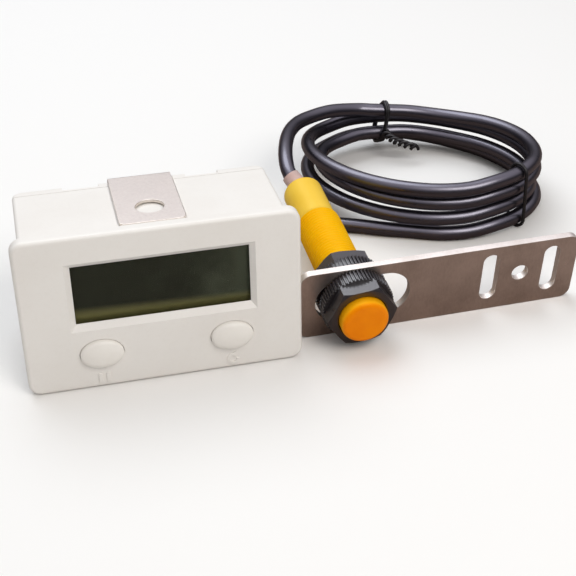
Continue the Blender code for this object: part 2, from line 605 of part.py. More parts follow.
def nut(name, face, away):
    """A plastic nut: a ribbed flange against the bracket and a chamfered hexagon beyond it."""
    ribs = []
    for k in range(NUT_RIBS * 4):
        t = 2 * math.pi * k / (NUT_RIBS * 4)
        r = NUT_FLANGE_RADIUS - (NUT_RIB_DEPTH if k % 4 in (2, 3) else 0.0)
        ribs.append((r * math.cos(t), r * math.sin(t)))
    flange_end, end = face + away * (NUT_FLANGE_END - GAP), face + away * (NUT_END - GAP)
    body = piece(name, prism(ribs, face, flange_end), NUT_BLACK, SENSOR)
    start = flange_end - away * 0.5 * MM
    flat = NUT_FLATS / 2
    corner = flat / math.cos(math.radians(30))
    hexagon = arc((0, 0), corner, 30 + math.degrees(NUT_TURN) + 30, 360 + math.degrees(NUT_TURN), 5)
    tool = shape_with(body, [prism(hexagon, start, end)], "UNION")
    chamfer = [(start - away * MM, corner + MM), (end - away * 1.3 * MM, corner + MM),
               (end - away * 1.3 * MM, corner), (end, flat - 0.3 * MM),
               (end + away * MM, flat - 0.3 * MM)]
    limit = shape_with(tool, [round_stack((0, 0), chamfer, steps=48)], "INTERSECT")
    limit.name = f"{name}_chamfer"
    shape_with(body, [drum((0, 0), THREAD_RADIUS + GAP, *sorted((face - away * MM, end + away * MM)),
                           steps=40)])


def strain_relief():
    """A tapered sleeve that leaves the barrel's rear wall and droops towards the lead's side."""
    path_mm = [(0, 46.6, 0), (0, 48.0, 0), (-0.5, 49.9, 0.6), (-1.25, 51.6, 1.4), (-1.95, 53.1, 2.2)]
    spots = smooth_route([Vector(p) * MM for p in path_mm], 0.9 * MM)
    widths = [1.0 - 0.2 * k / (len(spots) - 1) for k in range(len(spots))]
    tube("strain_relief", spots, RELIEF_BORE - GAP, 4, RELIEF_GREY, SENSOR, widths)
    bpy.context.view_layer.update()
    return [SENSOR.matrix_local @ spots[-1], SENSOR.matrix_local @ spots[-2]]


def smooth_route(route, spacing):
    """Points a set distance apart on a smooth curve through the route, whose ends stay straight."""
    fine = []
    for a, b, c, d in zip(route, route[1:], route[2:], route[3:]):
        for step in range(24):
            t = step / 24
            fine.append(0.5 * ((2 * b) + (c - a) * t + (2 * a - 5 * b + 4 * c - d) * t ** 2 +
                               (3 * b - a - 3 * c + d) * t ** 3))
    fine.append(route[-2])
    total = sum((b - a).length for a, b in zip(fine, fine[1:]))
    count = max(2, round(total / spacing))
    spots, walked = [fine[0]], 0.0
    for a, b in zip(fine, fine[1:]):
        step = (b - a).length
        while len(spots) < count and walked + step >= total * len(spots) / count:
            spots.append(a.lerp(b, (total * len(spots) / count - walked) / step))
        walked += step
    return [route[0]] + spots + [fine[-1], route[-1]]


def smooth_step(share):
    share = min(1.0, max(0.0, share))
    return share * share * (3 - 2 * share)


def wander(turns, height, rate, phase):
    return height * math.sin(rate * turns + phase)


def coil_point(turns):
    """The lead's centre line after some turns from the coil's top, clockwise seen from above."""
    layer = min(int(turns), COIL_LAYERS - 1)
    into = turns - layer
    spiral = into - 0.5 if layer % 2 == 0 else 0.5 - into
    out = spiral * SPIRAL_WIDTH + wander(turns, *SWELL)
    fallen = sum(smooth_step((turns - k) / CLIMB_TURNS + 0.5) for k in range(COIL_LAYERS)) - 1
    # Where the spiral reverses, neighbouring loops lie side by side and sink into each other
    step = LAYER_STEP - NESTING * (0.5 + 0.5 * math.cos(2 * math.pi * turns)) ** 3
    angle = math.radians(COIL_START_DEG) - 2 * math.pi * turns
    lift = LANDING_HEIGHT * max(0.0, 1 - turns / LANDING_TURNS) ** 2
    for tie in TIE_ANGLES.values():
        away = abs((math.degrees(angle) - tie + 180) % 360 - 180) / TIE_LIFT_SPREAD_DEG
        lift += TIE_LIFT * smooth_step(1.5 - 1.5 * away)
    return Vector((COIL_CENTRE[0] + (COIL_HALF_WIDTH + out) * math.cos(angle) +
                   wander(turns, *DRIFT_X),
                   COIL_CENTRE[1] + (COIL_HALF_DEPTH + out) * math.sin(angle) -
                   COIL_SKEW * math.cos(angle) + wander(turns, *DRIFT_Y),
                   CABLE_RADIUS + (COIL_LAYERS - 1 - fallen) * step + lift))


def least_gap(spots, skip):
    """The smallest clear distance between points of one tube that lie further apart along it."""
    gaps = [(spots[i] - spots[j]).length for i in range(len(spots))
            for j in range(i + skip, len(spots))]
    return min(gaps) - 2 * CABLE_RADIUS


# Lead: from the strain relief round the coil and along the table into the counter
def lead(relief_tip, relief_before):
    steps = round(COIL_TURNS * POINTS_PER_TURN)
    loops = [coil_point(COIL_TURNS * k / steps) for k in range(steps + 1)]
    straight = 2 * CABLE_RADIUS
    first = loops[0] + (loops[0] - loops[1]).normalized() * straight
    last = loops[-1] + (loops[-1] - loops[-2]).normalized() * straight
    loops = [first] + loops + [last]
    print(f"coil: {COIL_TURNS:.2f} turns, least gap to itself "
          f"{1000 * least_gap(loops, POINTS_PER_TURN // 2):.2f} mm")
    tube("cable_coil", loops, CABLE_RADIUS, 1, CABLE_BLACK, TABLE)

    leaves = (relief_tip - relief_before).normalized()
    start = relief_tip + leaves * GAP
    into_coil = (loops[1] - loops[0]).normalized()
    end = loops[0] - into_coil * GAP
    route = [start, start + leaves * straight / 2]
    route += [Vector(p) * MM for p in LEAD_ROUTE_MM]
    route += [end - into_coil * straight, end]
    free = smooth_route(route, 2 * straight)
    tube("cable_lead", free, CABLE_RADIUS, 3, CABLE_BLACK, TABLE)

    out_of_coil = (loops[-1] - loops[-2]).normalized()
    begin = loops[-1] + out_of_coil * GAP
    inlet = COUNTER.matrix_local @ (Vector((GLAND[0], GLAND_END + GAP, GLAND[1])) + IN_COUNTER)
    outwards = (COUNTER.matrix_local.to_3x3() @ Vector((0, 1, 0))).normalized()
    route = [begin, begin + out_of_coil * straight]
    route += [Vector(p) * MM for p in TAIL_ROUTE_MM]
    route += [inlet + outwards * straight, inlet]
    tail = smooth_route(route, 2 * straight)
    tube("cable_tail", tail, CABLE_RADIUS, 3, CABLE_BLACK, TABLE)
    for name, run in (("lead", free), ("coil", loops), ("tail", tail)):
        length = sum((b - a).length for a, b in zip(run, run[1:]))
        print(f"{name}: {1000 * length:.0f} mm, {len(run)} points")


def coil_tie(name, angle_deg):
    """A wire tie drawn round all the loops at one place, its two ends twisted together inside."""
    first = (COIL_START_DEG - angle_deg) % 360 / 360
    count = int(COIL_TURNS - first) + 1
    loops = [coil_point(first + k) for k in range(count)]
    along = (coil_point(first + 0.01) - coil_point(first)).normalized()
    up = Vector((0, 0, 1))
    outward = along.cross(up).normalized()
    if outward.dot(loops[0] - Vector((*COIL_CENTRE, 0))) < 0:
        outward = -outward
    clear = CABLE_RADIUS + GAP + TIE_RADIUS
    centre = sum(loops, Vector()) / len(loops)
    ring = []
    for k in range(1, 32):
        t = math.pi + 2 * math.pi * k / 32
        facing = outward * math.cos(t) + up * math.sin(t)
        held = max(loops, key=lambda p: (p - centre).dot(facing))
        flat = held - along * (held - centre).dot(along)
        ring.append(flat + facing * clear)
    knot = centre - outward * (max((centre - p).dot(outward) for p in loops) + clear + MM)
    side = up.cross(outward)
    steps = 14
    twists = []
    for phase in (0.0, math.pi):
        strand = []
        for k in range(steps + 1):
            t = phase - math.pi / 2 + k * math.radians(50)
            run = -outward * (TIE_TWIST_LENGTH * k / steps) - up * (MM * (k / steps) ** 2)
            strand.append(knot + run + (up * math.sin(t) + side * math.cos(t)) * TIE_TWIST_RADIUS)
        twists.append(strand)
    tube(name, twists[0][::-1] + ring + twists[1], TIE_RADIUS, 1, TIE_BLACK, TABLE)


front_housing()
rear_cover()
battery()
display_stack()
circuit_board()
for key_name, key_x in KEY_CENTRES.items():
    key(key_name, key_x)
screws("board_screw", BOARD_POSTS, BOARD_FRONT + BOARD_THICK + GAP, 4.5 * MM)
screws("cover_screw", COVER_POSTS, COVER_REAR - 0.9 * MM, 7.0 * MM)
panel_clip()
cable_gland()
bracket_plate()
sensor()
nut("front_nut", -GAP, -1)
nut("rear_nut", BRACKET_THICK + GAP, 1)
lead(*strain_relief())
for tie_name, tie_angle in TIE_ANGLES.items():
    coil_tie(tie_name, tie_angle)
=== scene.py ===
import json
import math

import bmesh
import bpy
from mathutils import Euler, Matrix, Vector


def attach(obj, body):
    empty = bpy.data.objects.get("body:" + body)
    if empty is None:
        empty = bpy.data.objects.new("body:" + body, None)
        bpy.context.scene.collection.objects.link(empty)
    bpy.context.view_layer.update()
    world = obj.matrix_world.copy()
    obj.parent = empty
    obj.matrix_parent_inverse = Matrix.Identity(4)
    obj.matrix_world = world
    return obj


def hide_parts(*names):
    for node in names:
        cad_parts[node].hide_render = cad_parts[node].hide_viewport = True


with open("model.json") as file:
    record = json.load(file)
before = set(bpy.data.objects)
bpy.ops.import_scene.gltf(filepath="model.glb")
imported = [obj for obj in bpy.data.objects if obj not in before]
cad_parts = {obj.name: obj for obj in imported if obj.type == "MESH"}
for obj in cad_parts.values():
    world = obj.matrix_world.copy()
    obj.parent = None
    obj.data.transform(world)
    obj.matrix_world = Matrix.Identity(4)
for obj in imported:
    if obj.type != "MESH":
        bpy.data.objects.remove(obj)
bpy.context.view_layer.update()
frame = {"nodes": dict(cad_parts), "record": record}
MM = 0.001

# Camera: a long lens from the front left, looking down on the counter's face and the sensor's
# cap, with no shift and everything in focus
lens = bpy.data.cameras.new("studio_camera")
lens.lens = 75.83
lens.sensor_width = 36.0
camera = bpy.data.objects.new("studio_camera", lens)
bpy.context.collection.objects.link(camera)
camera.location = (-0.063806, -0.254847, 0.182235)
camera.rotation_euler = (math.radians(55.62), 0.0, math.radians(-13.71))
bpy.context.scene.camera = camera
bpy.context.scene.view_settings.view_transform = 'Standard'

# Sensor lead: one length of round black cable in a satin PVC sheath, from the sensor's strain
# relief round four piled layers of loops and along the table into the bush in the rear cover
TABLE_CORNER = Vector((70.3, 26.3, 0.0))
COUNTER_PLACE = Vector((-70.3, -23.3, 0.0))
COUNTER_LEAN = math.radians(-3.83)
BEZEL_DEPTH = 3.0
SENSOR_PLACE = Vector((10.5, -19.18, 10.415))
SENSOR_TILT = Euler((math.radians(4.7), 0.0, math.radians(1.42)))
# The counter leans back on its bezel's rear edge; the sensor's axis runs along y
COUNTER = Matrix.Translation(COUNTER_PLACE * MM) @ Matrix.Rotation(COUNTER_LEAN, 4, 'X') @ \
    Matrix.Translation((0.0, -BEZEL_DEPTH * MM, 0.0))
SENSOR = Matrix.Translation(SENSOR_PLACE * MM) @ SENSOR_TILT.to_matrix().to_4x4()
CABLE_RADIUS = 2.05
CABLE_SPACING = 2.2
COIL_TURNS = 3.58
COIL_LAYERS = 4
LAYER_STEP = 4.6
CLIMB_TURNS = 0.5
NESTING = 1.7
SPIRAL_WIDTH = 3.9
COIL_CENTRE = (119.9, 71.0)
COIL_HALF_WIDTH = 31.2
COIL_HALF_DEPTH = 28.1
COIL_SKEW = 4.6
COIL_START_DEG = 98.0
LANDING_HEIGHT = 1.2
LANDING_TURNS = 0.12
POINTS_PER_TURN = 24
# How far the loops wander off the true oval, each as height, rate per turn and phase
SWELL = (1.0, 6.2, 0.67)
DRIFT_X = (0.6, 3.65, 1.2)
DRIFT_Y = (0.8, 3.65, 3.6)
# Where the wire ties are round the coil; the loops lie a little higher there
TIE_ANGLES = {"rear_wire_tie": 96.0, "side_wire_tie": -50.0}
TIE_LIFT = 1.1
TIE_LIFT_SPREAD_DEG = 40.0
# The lead's way from the sensor to the coil and from the coil to the bush, both on the table, and
# the strain relief's way out of the barrel, in the sensor's frame
LEAD_ROUTE = [(77.3, 62.4, 18.1), (77.8, 66.6, 19.2), (79.3, 72.6, 19.8), (82.2, 80.5, 19.5),
              (86.4, 87.4, 18.7), (92.0, 92.4, 17.8), (99.3, 96.2, 17.0)]
TAIL_ROUTE = [(93.0, 54.0, 2.1), (84.0, 57.0, 2.1), (74.0, 58.0, 2.1), (64.5, 56.6, 2.3),
              (57.7, 52.2, 3.3)]
RELIEF_ROUTE = [(0.0, 46.6, 0.0), (0.0, 48.0, 0.0), (-0.5, 49.9, 0.6), (-1.25, 51.6, 1.4),
                (-1.95, 53.1, 2.2)]
RELIEF_SPACING = 0.3
BUSH_MOUTH = Vector((52.5, 38.3, 8.8))
HIDDEN_LENGTH = 3.0
CURVE_PARTS = 24


def smooth_step(share):
    """A share kept between 0 and 1 and eased at both ends."""
    share = min(1.0, max(0.0, share))
    return share * share * (3 - 2 * share)


def wander(turns, height, rate, phase):
    """A slow wave along the coil."""
    return height * math.sin(rate * turns + phase)


def coil_point(turns):
    """The cable's middle, in mm, after some turns from the coil's top, clockwise from above."""
    layer = min(int(turns), COIL_LAYERS - 1)
    into = turns - layer
    spiral = into - 0.5 if layer % 2 == 0 else 0.5 - into
    out = spiral * SPIRAL_WIDTH + wander(turns, *SWELL)
    fallen = sum(smooth_step((turns - k) / CLIMB_TURNS + 0.5) for k in range(COIL_LAYERS)) - 1
    # Where the spiral reverses, neighbouring loops lie side by side and sink into each other
    step = LAYER_STEP - NESTING * (0.5 + 0.5 * math.cos(2 * math.pi * turns)) ** 3
    angle = math.radians(COIL_START_DEG) - 2 * math.pi * turns
    lift = LANDING_HEIGHT * max(0.0, 1 - turns / LANDING_TURNS) ** 2
    for tie in TIE_ANGLES.values():
        away = abs((math.degrees(angle) - tie + 180) % 360 - 180) / TIE_LIFT_SPREAD_DEG
        lift += TIE_LIFT * smooth_step(1.5 - 1.5 * away)
    x = (COIL_HALF_WIDTH + out) * math.cos(angle) + wander(turns, *DRIFT_X)
    y = (COIL_HALF_DEPTH + out) * math.sin(angle) - COIL_SKEW * math.cos(angle) + \
        wander(turns, *DRIFT_Y)
    z = CABLE_RADIUS + (COIL_LAYERS - 1 - fallen) * step + lift
    return Vector((COIL_CENTRE[0] + x, COIL_CENTRE[1] + y, z))


def smooth_route(route, spacing):
    """Points a set distance apart on a smooth curve through the route, whose ends stay straight."""
    fine = []
    for a, b, c, d in zip(route, route[1:], route[2:], route[3:]):
        for part in range(CURVE_PARTS):
            t = part / CURVE_PARTS
            fine.append(0.5 * ((2 * b) + (c - a) * t + (2 * a - 5 * b + 4 * c - d) * t ** 2 +
                               (3 * b - a - 3 * c + d) * t ** 3))
    fine.append(route[-2])
    total = sum((b - a).length for a, b in zip(fine, fine[1:]))
    count = max(2, round(total / spacing))
    spots, walked = [fine[0]], 0.0
    for a, b in zip(fine, fine[1:]):
        step = (b - a).length
        while len(spots) < count and walked + step >= total * len(spots) / count:
            spots.append(a.lerp(b, (total * len(spots) / count - walked) / step))
        walked += step
    return [route[0]] + spots + [fine[-1], route[-1]]


def alone(piece):
    """One piece selected and active, and nothing else."""
    bpy.ops.object.select_all(action='DESELECT')
    piece.select_set(True)
    bpy.context.view_layer.objects.active = piece


def enter(piece):
    """One piece in edit mode, with all of it selected."""
    alone(piece)
    bpy.ops.object.mode_set(mode='EDIT')
    bpy.ops.mesh.select_all(action='SELECT')


def leave():
    """Out of edit mode."""
    bpy.ops.object.mode_set(mode='OBJECT')


def finish_mesh():
    """All faces turned outwards, then out of edit mode."""
    bpy.ops.mesh.select_all(action='SELECT')
    bpy.ops.mesh.normals_make_consistent(inside=False)
    leave()


def round_bar(name, spots, radius, resolution, widths=None):
    """A bar of 2 * resolution + 4 sides along world points, closed at both ends."""
    curve = bpy.data.curves.new(name, 'CURVE')
    curve.dimensions = '3D'
    curve.bevel_depth = radius * MM
    curve.bevel_resolution = resolution
    curve.use_fill_caps = True
    line = curve.splines.new('POLY')
    line.points.add(len(spots) - 1)
    for k, spot in enumerate(spots):
        line.points[k].co = (*spot, 1.0)
        line.points[k].radius = widths[k] if widths else 1.0
    line.use_smooth = True
    made = bpy.data.objects.new(name, curve)
    bpy.context.collection.objects.link(made)
    alone(made)
    bpy.ops.object.convert(target='MESH')
    enter(bpy.context.object)
    bpy.ops.mesh.remove_doubles(threshold=0.001 * MM)
    finish_mesh()
    bpy.ops.object.shade_smooth_by_angle(angle=math.radians(40))
    return bpy.context.object


def on_table(point):
    """A point in the table's mm as a world point."""
    return (Vector(point) - TABLE_CORNER) * MM


relief_points = smooth_route([Vector(p) * MM for p in RELIEF_ROUTE], RELIEF_SPACING * MM)
relief_path = [SENSOR @ p for p in relief_points]
relief_tip = relief_path[-1]
leaves_relief = (relief_tip - relief_path[-2]).normalized()
bush_mouth = COUNTER @ (BUSH_MOUTH * MM)
bush_axis = (COUNTER.to_3x3() @ Vector((0.0, 1.0, 0.0))).normalized()
hidden = HIDDEN_LENGTH * MM

coil_steps = round(COIL_TURNS * POINTS_PER_TURN)
coil_spots = [on_table(coil_point(COIL_TURNS * k / coil_steps)) for k in range(coil_steps + 1)]
into_coil = (coil_spots[1] - coil_spots[0]).normalized()
out_of_coil = (coil_spots[-1] - coil_spots[-2]).normalized()
# The cable runs on straight for one or two of its widths where it leaves the coil and the bush
width = 2 * CABLE_RADIUS * MM
route = [relief_tip - leaves_relief * hidden, relief_tip]
route += [on_table(p) for p in LEAD_ROUTE]
route += [coil_spots[0] - into_coil * 2 * width, coil_spots[0] - into_coil * width]
route += coil_spots
route += [coil_spots[-1] + out_of_coil * width, coil_spots[-1] + out_of_coil * 2 * width]
route += [on_table(p) for p in TAIL_ROUTE]
route += [bush_mouth + bush_axis * width, bush_mouth, bush_mouth - bush_axis * hidden]
cable_path = smooth_route(route, CABLE_SPACING * MM)
cable = round_bar("lead_cable", cable_path, CABLE_RADIUS, 7)


class Shade:
    """A socket in a material's nodes; sums and products on it add Math nodes."""

    def __init__(self, tree, socket=None):
        self.tree, self.socket = tree, socket

    def node(self, kind, settings=None, inputs=None, output=0):
        """A new node: its settings first, then the values or links of its sockets."""
        made = self.tree.nodes.new(kind)
        for name, value in (settings or {}).items():
            setattr(made, name, value)
        for name, value in (inputs or {}).items():
            if isinstance(value, Shade):
                self.tree.links.new(value.socket, made.inputs[name])
            else:
                made.inputs[name].default_value = value
        return Shade(self.tree, made.outputs[output])

    def maths(self, operation, other):
        """What a Math node makes of this and another socket or number."""
        return self.node("ShaderNodeMath", {"operation": operation}, {0: self, 1: other})

    def __add__(self, other):
        return self.maths("ADD", other)

    def __sub__(self, other):
        return self.maths("SUBTRACT", other)

    def __mul__(self, other):
        return self.maths("MULTIPLY", other)

    def step(self, low, high):
        """0 below low and 1 above high, with a smooth rise between them."""
        return self.node("ShaderNodeMapRange", {"interpolation_type": "SMOOTHSTEP"},
                         {"Value": self, "From Min": low, "From Max": high})

    def between(self, first, second):
        """The first colour where this is 0 and the second where it is 1."""
        return self.node("ShaderNodeMix", {"data_type": "RGBA"}, {0: self, 6: first, 7: second}, 2)

    def into(self, shader, name):
        """Links this to a shader's socket."""
        self.tree.links.new(self.socket, shader.inputs[name])


def paint(red, green, blue):
    """A colour as a screen shows it, 0 to 255, in the renderer's linear values."""
    return tuple((c / 255 / 12.92) if c < 11 else ((c / 255 + 0.055) / 1.055) ** 2.4
                 for c in (red, green, blue)) + (1.0,)


def new_finish(name, **constants):
    """A material, a start for its nodes and its shader, whose constant sockets are set here."""
    made = bpy.data.materials.new(name)
    made.use_nodes = True
    shader = made.node_tree.nodes["Principled BSDF"]
    for socket, value in constants.items():
        shader.inputs[socket.replace("_", " ")].default_value = value
    return made, Shade(made.node_tree), shader


def patches(start, size, detail=3.0, roughness=0.5):
    """Cloudy noise from 0 to 1 whose patches are about a size in mm across."""
    where = start.node("ShaderNodeTexCoord", output=3)
    return start.node("ShaderNodeTexNoise", None, {
        "Vector": where, "Scale": 1 / (size * MM), "Detail": detail, "Roughness": roughness})


def relief_map(shader, height, depth):
    """Surface relief of a depth in mm from a height of 0 to 1."""
    bump = height.node("ShaderNodeBump", None,
                       {"Strength": 1.0, "Distance": depth * MM, "Height": height})
    bump.into(shader, "Normal")


def moulded(name, colour, worn, roughness, grain=0.25, depth=0.006, spread=9.0, **constants):
    """Plastic or rubber: cloudy tone, uneven gloss and a fine moulded grain."""
    made, start, shader = new_finish(name, **constants)
    tone = patches(start, spread, 4.0).step(0.3, 0.75)
    speck = patches(start, 0.9, 2.0).step(0.45, 0.8)
    (tone * 0.7 + speck * 0.3).between(colour, worn).into(shader, "Base Color")
    rough = patches(start, 3.0, 5.0)
    (rough * 0.14 + (roughness - 0.07)).into(shader, "Roughness")
    relief_map(shader, patches(start, grain, 3.0, 0.6), depth)
    return made


cable.data.materials.append(moulded(
    "cable_sheath", paint(7, 6, 11), paint(14, 12, 19), 0.3, 0.5, 0.01, 14.0,
    Specular_IOR_Level=1.0, Specular_Tint=(0.88, 0.86, 1.0, 1.0), IOR=1.75))
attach(cable, "counter")
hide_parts("cable_lead", "cable_coil", "cable_tail")

# Wire ties: a soft iron wire in a thin black plastic coat, drawn round all the loops at one place,
# with its two ends twisted together on the inside of the coil; the rear one goes round twice
TIE_RADIUS = 0.5
TIE_CLEAR = 0.15
TIE_PITCH = 0.6
TIE_PARTS = 64
TWIST_RADIUS = 0.9
TWIST_LENGTH = 9.0
TWIST_DROP = 4.2
TWIST_GAP = 1.0
TWIST_INWARDS = 2.2
TWIST_PARTS = 36
TWIST_STEP = math.radians(34)
TIE_FINISH = moulded("tie_coat", paint(18, 17, 19), paint(30, 29, 32), 0.45, 0.4, 0.01, 6.0)


def wire_tie(name, windings, heading):
    """A wire wound round all the loops, whose twisted ends run along a heading and droop."""
    first = (COIL_START_DEG - TIE_ANGLES[name]) % 360 / 360
    count = int(COIL_TURNS - first) + 1
    loops = [coil_point(first + k) for k in range(count)]
    along = (coil_point(first + 0.01) - coil_point(first)).normalized()
    up = Vector((0.0, 0.0, 1.0))
    outward = along.cross(up).normalized()
    if outward.dot(loops[0] - Vector((*COIL_CENTRE, 0.0))) < 0:
        outward = -outward
    clear = CABLE_RADIUS + TIE_CLEAR + TIE_RADIUS
    centre = sum(loops, Vector()) / len(loops)
    ring = []
    for k in range(1, TIE_PARTS * windings):
        t = math.pi + 2 * math.pi * k / TIE_PARTS
        aside = (k / TIE_PARTS - windings / 2) * (windings - 1) * TIE_PITCH
        facing = outward * math.cos(t) + up * math.sin(t)
        # The wire lies on whichever loop stands furthest out this way
        held = max(loops, key=lambda p: (p - centre).dot(facing))
        flat = held - along * (held - centre).dot(along)
        ring.append(flat + facing * clear + along * aside)
    knot = centre - outward * (max((centre - p).dot(outward) for p in loops) + clear + TWIST_GAP)
    side = up.cross(outward)
    strands = []
    for phase in (0.0, math.pi):
        strand = []
        for k in range(TWIST_PARTS + 1):
            t = phase - math.pi / 2 + k * TWIST_STEP
            # Each end leaves the knot inwards, then turns to its heading and droops
            share = k / TWIST_PARTS
            run = heading * (TWIST_LENGTH * share ** 1.6) - up * (TWIST_DROP * share)
            run -= outward * (TWIST_INWARDS * math.sin(min(share * 2.0, 1.0) * math.pi / 2))
            strand.append(knot + run + (up * math.sin(t) + side * math.cos(t)) * TWIST_RADIUS)
        strands.append(strand)
    spots = [on_table(p) for p in strands[0][::-1] + ring + strands[1]]
    made = round_bar(name, spots, TIE_RADIUS, 3)
    made.data.materials.append(TIE_FINISH)
    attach(made, "counter")
    return made


rear_tie = wire_tie("rear_wire_tie", 2, Vector((1.0, -0.3, 0.0)))
side_tie = wire_tie("side_wire_tie", 1, Vector((-0.7, 0.5, 0.0)))
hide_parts("rear_coil_tie")
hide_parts("side_coil_tie")

# Strain relief: a soft sleeve, grey with a pinkish cast, moulded on the lead where it leaves the
# barrel's rear wall, and a little narrower at its tip
RELIEF_RADIUS = 3.1
RELIEF_TAPER = 0.2
RELIEF_FINISH = moulded("relief_sleeve", paint(194, 171, 167), paint(206, 172, 166), 0.5, 0.4, 0.01,
                        3.0)
last = len(relief_path) - 1
widths = [1.0 - RELIEF_TAPER * k / last for k in range(last + 1)]
relief_sleeve = round_bar("relief_sleeve", relief_path, RELIEF_RADIUS, 10, widths)
relief_sleeve.data.materials.append(RELIEF_FINISH)
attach(relief_sleeve, "counter")
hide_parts("strain_relief")

# Cable bush: a turned rubber grommet that the lead enters the rear cover through, with a collar
# on each side of the cover's wall
BUSH_AXIS = (52.5, 8.8)
BUSH_STAGES = [(29.1, 3.5), (29.9, 3.5), (30.0, 2.6), (33.1, 2.6), (33.1, 4.0), (33.5, 4.1),
               (34.3, 3.9), (36.2, 3.0), (37.7, 2.8), (38.0, 2.5)]


def named(name):
    """The piece just added, under its name."""
    bpy.context.object.name = name
    bpy.context.object.data.name = name
    return bpy.context.object


def settled(name):
    """The piece just added, under its name, its place, turn and size taken into its mesh."""
    made = named(name)
    bpy.ops.object.transform_apply(location=True, rotation=True, scale=True)
    return made


def pick(piece, kind, test):
    """In edit mode, the faces, edges or corners whose middle in mm and heading pass a test."""
    alone(piece)
    bpy.ops.object.mode_set(mode='EDIT')
    bpy.ops.mesh.select_mode(type=kind)
    bpy.ops.mesh.select_all(action='DESELECT')
    drawn = bmesh.from_edit_mesh(piece.data)
    if kind == 'FACE':
        found = [(f, f.calc_center_median(), f.normal) for f in drawn.faces]
    elif kind == 'EDGE':
        found = [(e, (e.verts[0].co + e.verts[1].co) / 2,
                  (e.verts[1].co - e.verts[0].co).normalized()) for e in drawn.edges]
    else:
        found = [(v, v.co, v.normal) for v in drawn.verts]
    for part, middle, heading in found:
        part.select_set(bool(test(middle / MM, heading)))
    drawn.select_flush_mode()
    bmesh.update_edit_mesh(piece.data)


def extrude_to(offset, scale=None, pivot=(0.0, 0.0, 0.0)):
    """Draws what is selected out by an offset in mm, then scales its end about a pivot in mm."""
    bpy.ops.mesh.extrude_region_move(TRANSFORM_OT_translate={"value": Vector(offset) * MM})
    if scale:
        bpy.ops.transform.resize(value=scale, center_override=Vector(pivot) * MM)


def turned(name, stages, sides=64, centre=(0.0, 0.0)):
    """A solid turned on an axis along y: a circle drawn out through (place, radius) stages."""
    place, radius = stages[0]
    bpy.ops.mesh.primitive_circle_add(
        vertices=sides, radius=radius * MM, fill_type='NGON',
        location=(centre[0] * MM, place * MM, centre[1] * MM), rotation=(math.pi / 2, 0.0, 0.0))
    made = settled(name)
    enter(made)
    for end, wide in stages[1:]:
        share = wide / radius
        extrude_to((0.0, end - place, 0.0), (share, 1.0, share), (centre[0], end, centre[1]))
        place, radius = end, wide
    finish_mesh()
    return made


def smooth_finish(piece, angle=32.0):
    """Smooth shading up to an angle, with flat faces kept flat by weighted normals."""
    alone(piece)
    bpy.ops.object.shade_smooth_by_angle(angle=math.radians(angle))
    step = piece.modifiers.new("weighted", 'WEIGHTED_NORMAL')
    step.keep_sharp = True
    bpy.ops.object.modifier_apply(modifier=step.name)


def soften(piece, width, segments=2, angle=40.0):
    """Small rounds along all edges sharper than an angle."""
    alone(piece)
    step = piece.modifiers.new("rounds", 'BEVEL')
    step.width = width * MM
    step.segments = segments
    step.limit_method = 'ANGLE'
    step.angle_limit = math.radians(angle)
    step.miter_outer = 'MITER_ARC'
    bpy.ops.object.modifier_apply(modifier=step.name)


def seat(piece, place, finish, body):
    """Takes a finished piece from its own frame to its place and says what it rides on."""
    piece.matrix_world = place
    alone(piece)
    bpy.ops.object.transform_apply(location=True, rotation=True, scale=True)
    piece.data.materials.append(finish)
    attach(piece, body)


RUBBER = moulded("bush_rubber", paint(64, 62, 66), paint(82, 80, 84), 0.62, 0.3, 0.015, 4.0)
cable_bush = turned("cable_bush", BUSH_STAGES, 48, BUSH_AXIS)
soften(cable_bush, 0.15)
smooth_finish(cable_bush)
seat(cable_bush, COUNTER, RUBBER, "counter")
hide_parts("cable_gland")

# Front housing: the bezel and the case behind it, one injection moulding in white ABS with a
# sloping frame round the display and two oval key holes
BEZEL = (66.0, BEZEL_DEPTH, 40.5)
BEZEL_CORNER = 3.0
BEZEL_ROUND = 1.0
# Plans of the case and of the display's opening, each as left, right, low and high
CASE = (1.9, 64.1, 2.85, 37.6)
WINDOW = (12.6, 53.8, 17.5, 32.5)
WINDOW_FRAME = (11.1, 55.2, 15.8, 33.9)
WINDOW_POCKET = (10.0, 56.2, 14.6, 35.0)
CASE_START = 1.5
CASE_EDGE = 0.9
SEAM = 29.9
WALL = 1.6
FRONT_WALL = 2.4
WINDOW_LIP = 1.3
KEY_CENTRES = {"pause": 17.75, "reset": 48.7}
KEY_HEIGHT = 9.5
KEY_HALF_WIDTH = 5.1
KEY_HALF_HEIGHT = 3.65
KEY_GAP = 0.12
CLIP_SPAN = (25.2, 40.7)
CLIP_FRONT = 7.5
CLIP_TRACK = 0.3
# Posts for the cover's and the board's screws, each with a hole that the screw cuts its thread in
COVER_POSTS = [(x, 7.2) for x in (7.6, 58.4)]
COVER_POST_RADIUS = 2.4
COVER_POST_END = 29.6
BOARD_POSTS = [(x, z) for x in (7.1, 58.9) for z in (16.0, 26.0)]
BOARD_POST_RADIUS = 2.0
BOARD_POST_END = 8.9
BOARD_HOLE_START = 3.4
POST_START = 1.2
SCREW_CORE = 1.3
SCREW_DEPTH = 8.0
EDGE_ROUND = 0.12
# How far a cutting solid stands past what it cuts, and how far one only just does
PAST = 1.0
JUST_PAST = 0.1


def block(name, low, high):
    """A box between two corners in mm."""
    low, high = Vector(low), Vector(high)
    bpy.ops.mesh.primitive_cube_add(size=1.0, location=(low + high) / 2 * MM)
    bpy.context.object.scale = (high - low) * MM
    return settled(name)


def slab(name, plan, front, rear):
    """A box with a plan, as left, right, low and high, between a front and a rear in mm."""
    return block(name, (plan[0], front, plan[2]), (plan[1], rear, plan[3]))


def narrowed(plan, wall):
    """A plan less a wall on all four sides."""
    return (plan[0] + wall, plan[1] - wall, plan[2] + wall, plan[3] - wall)


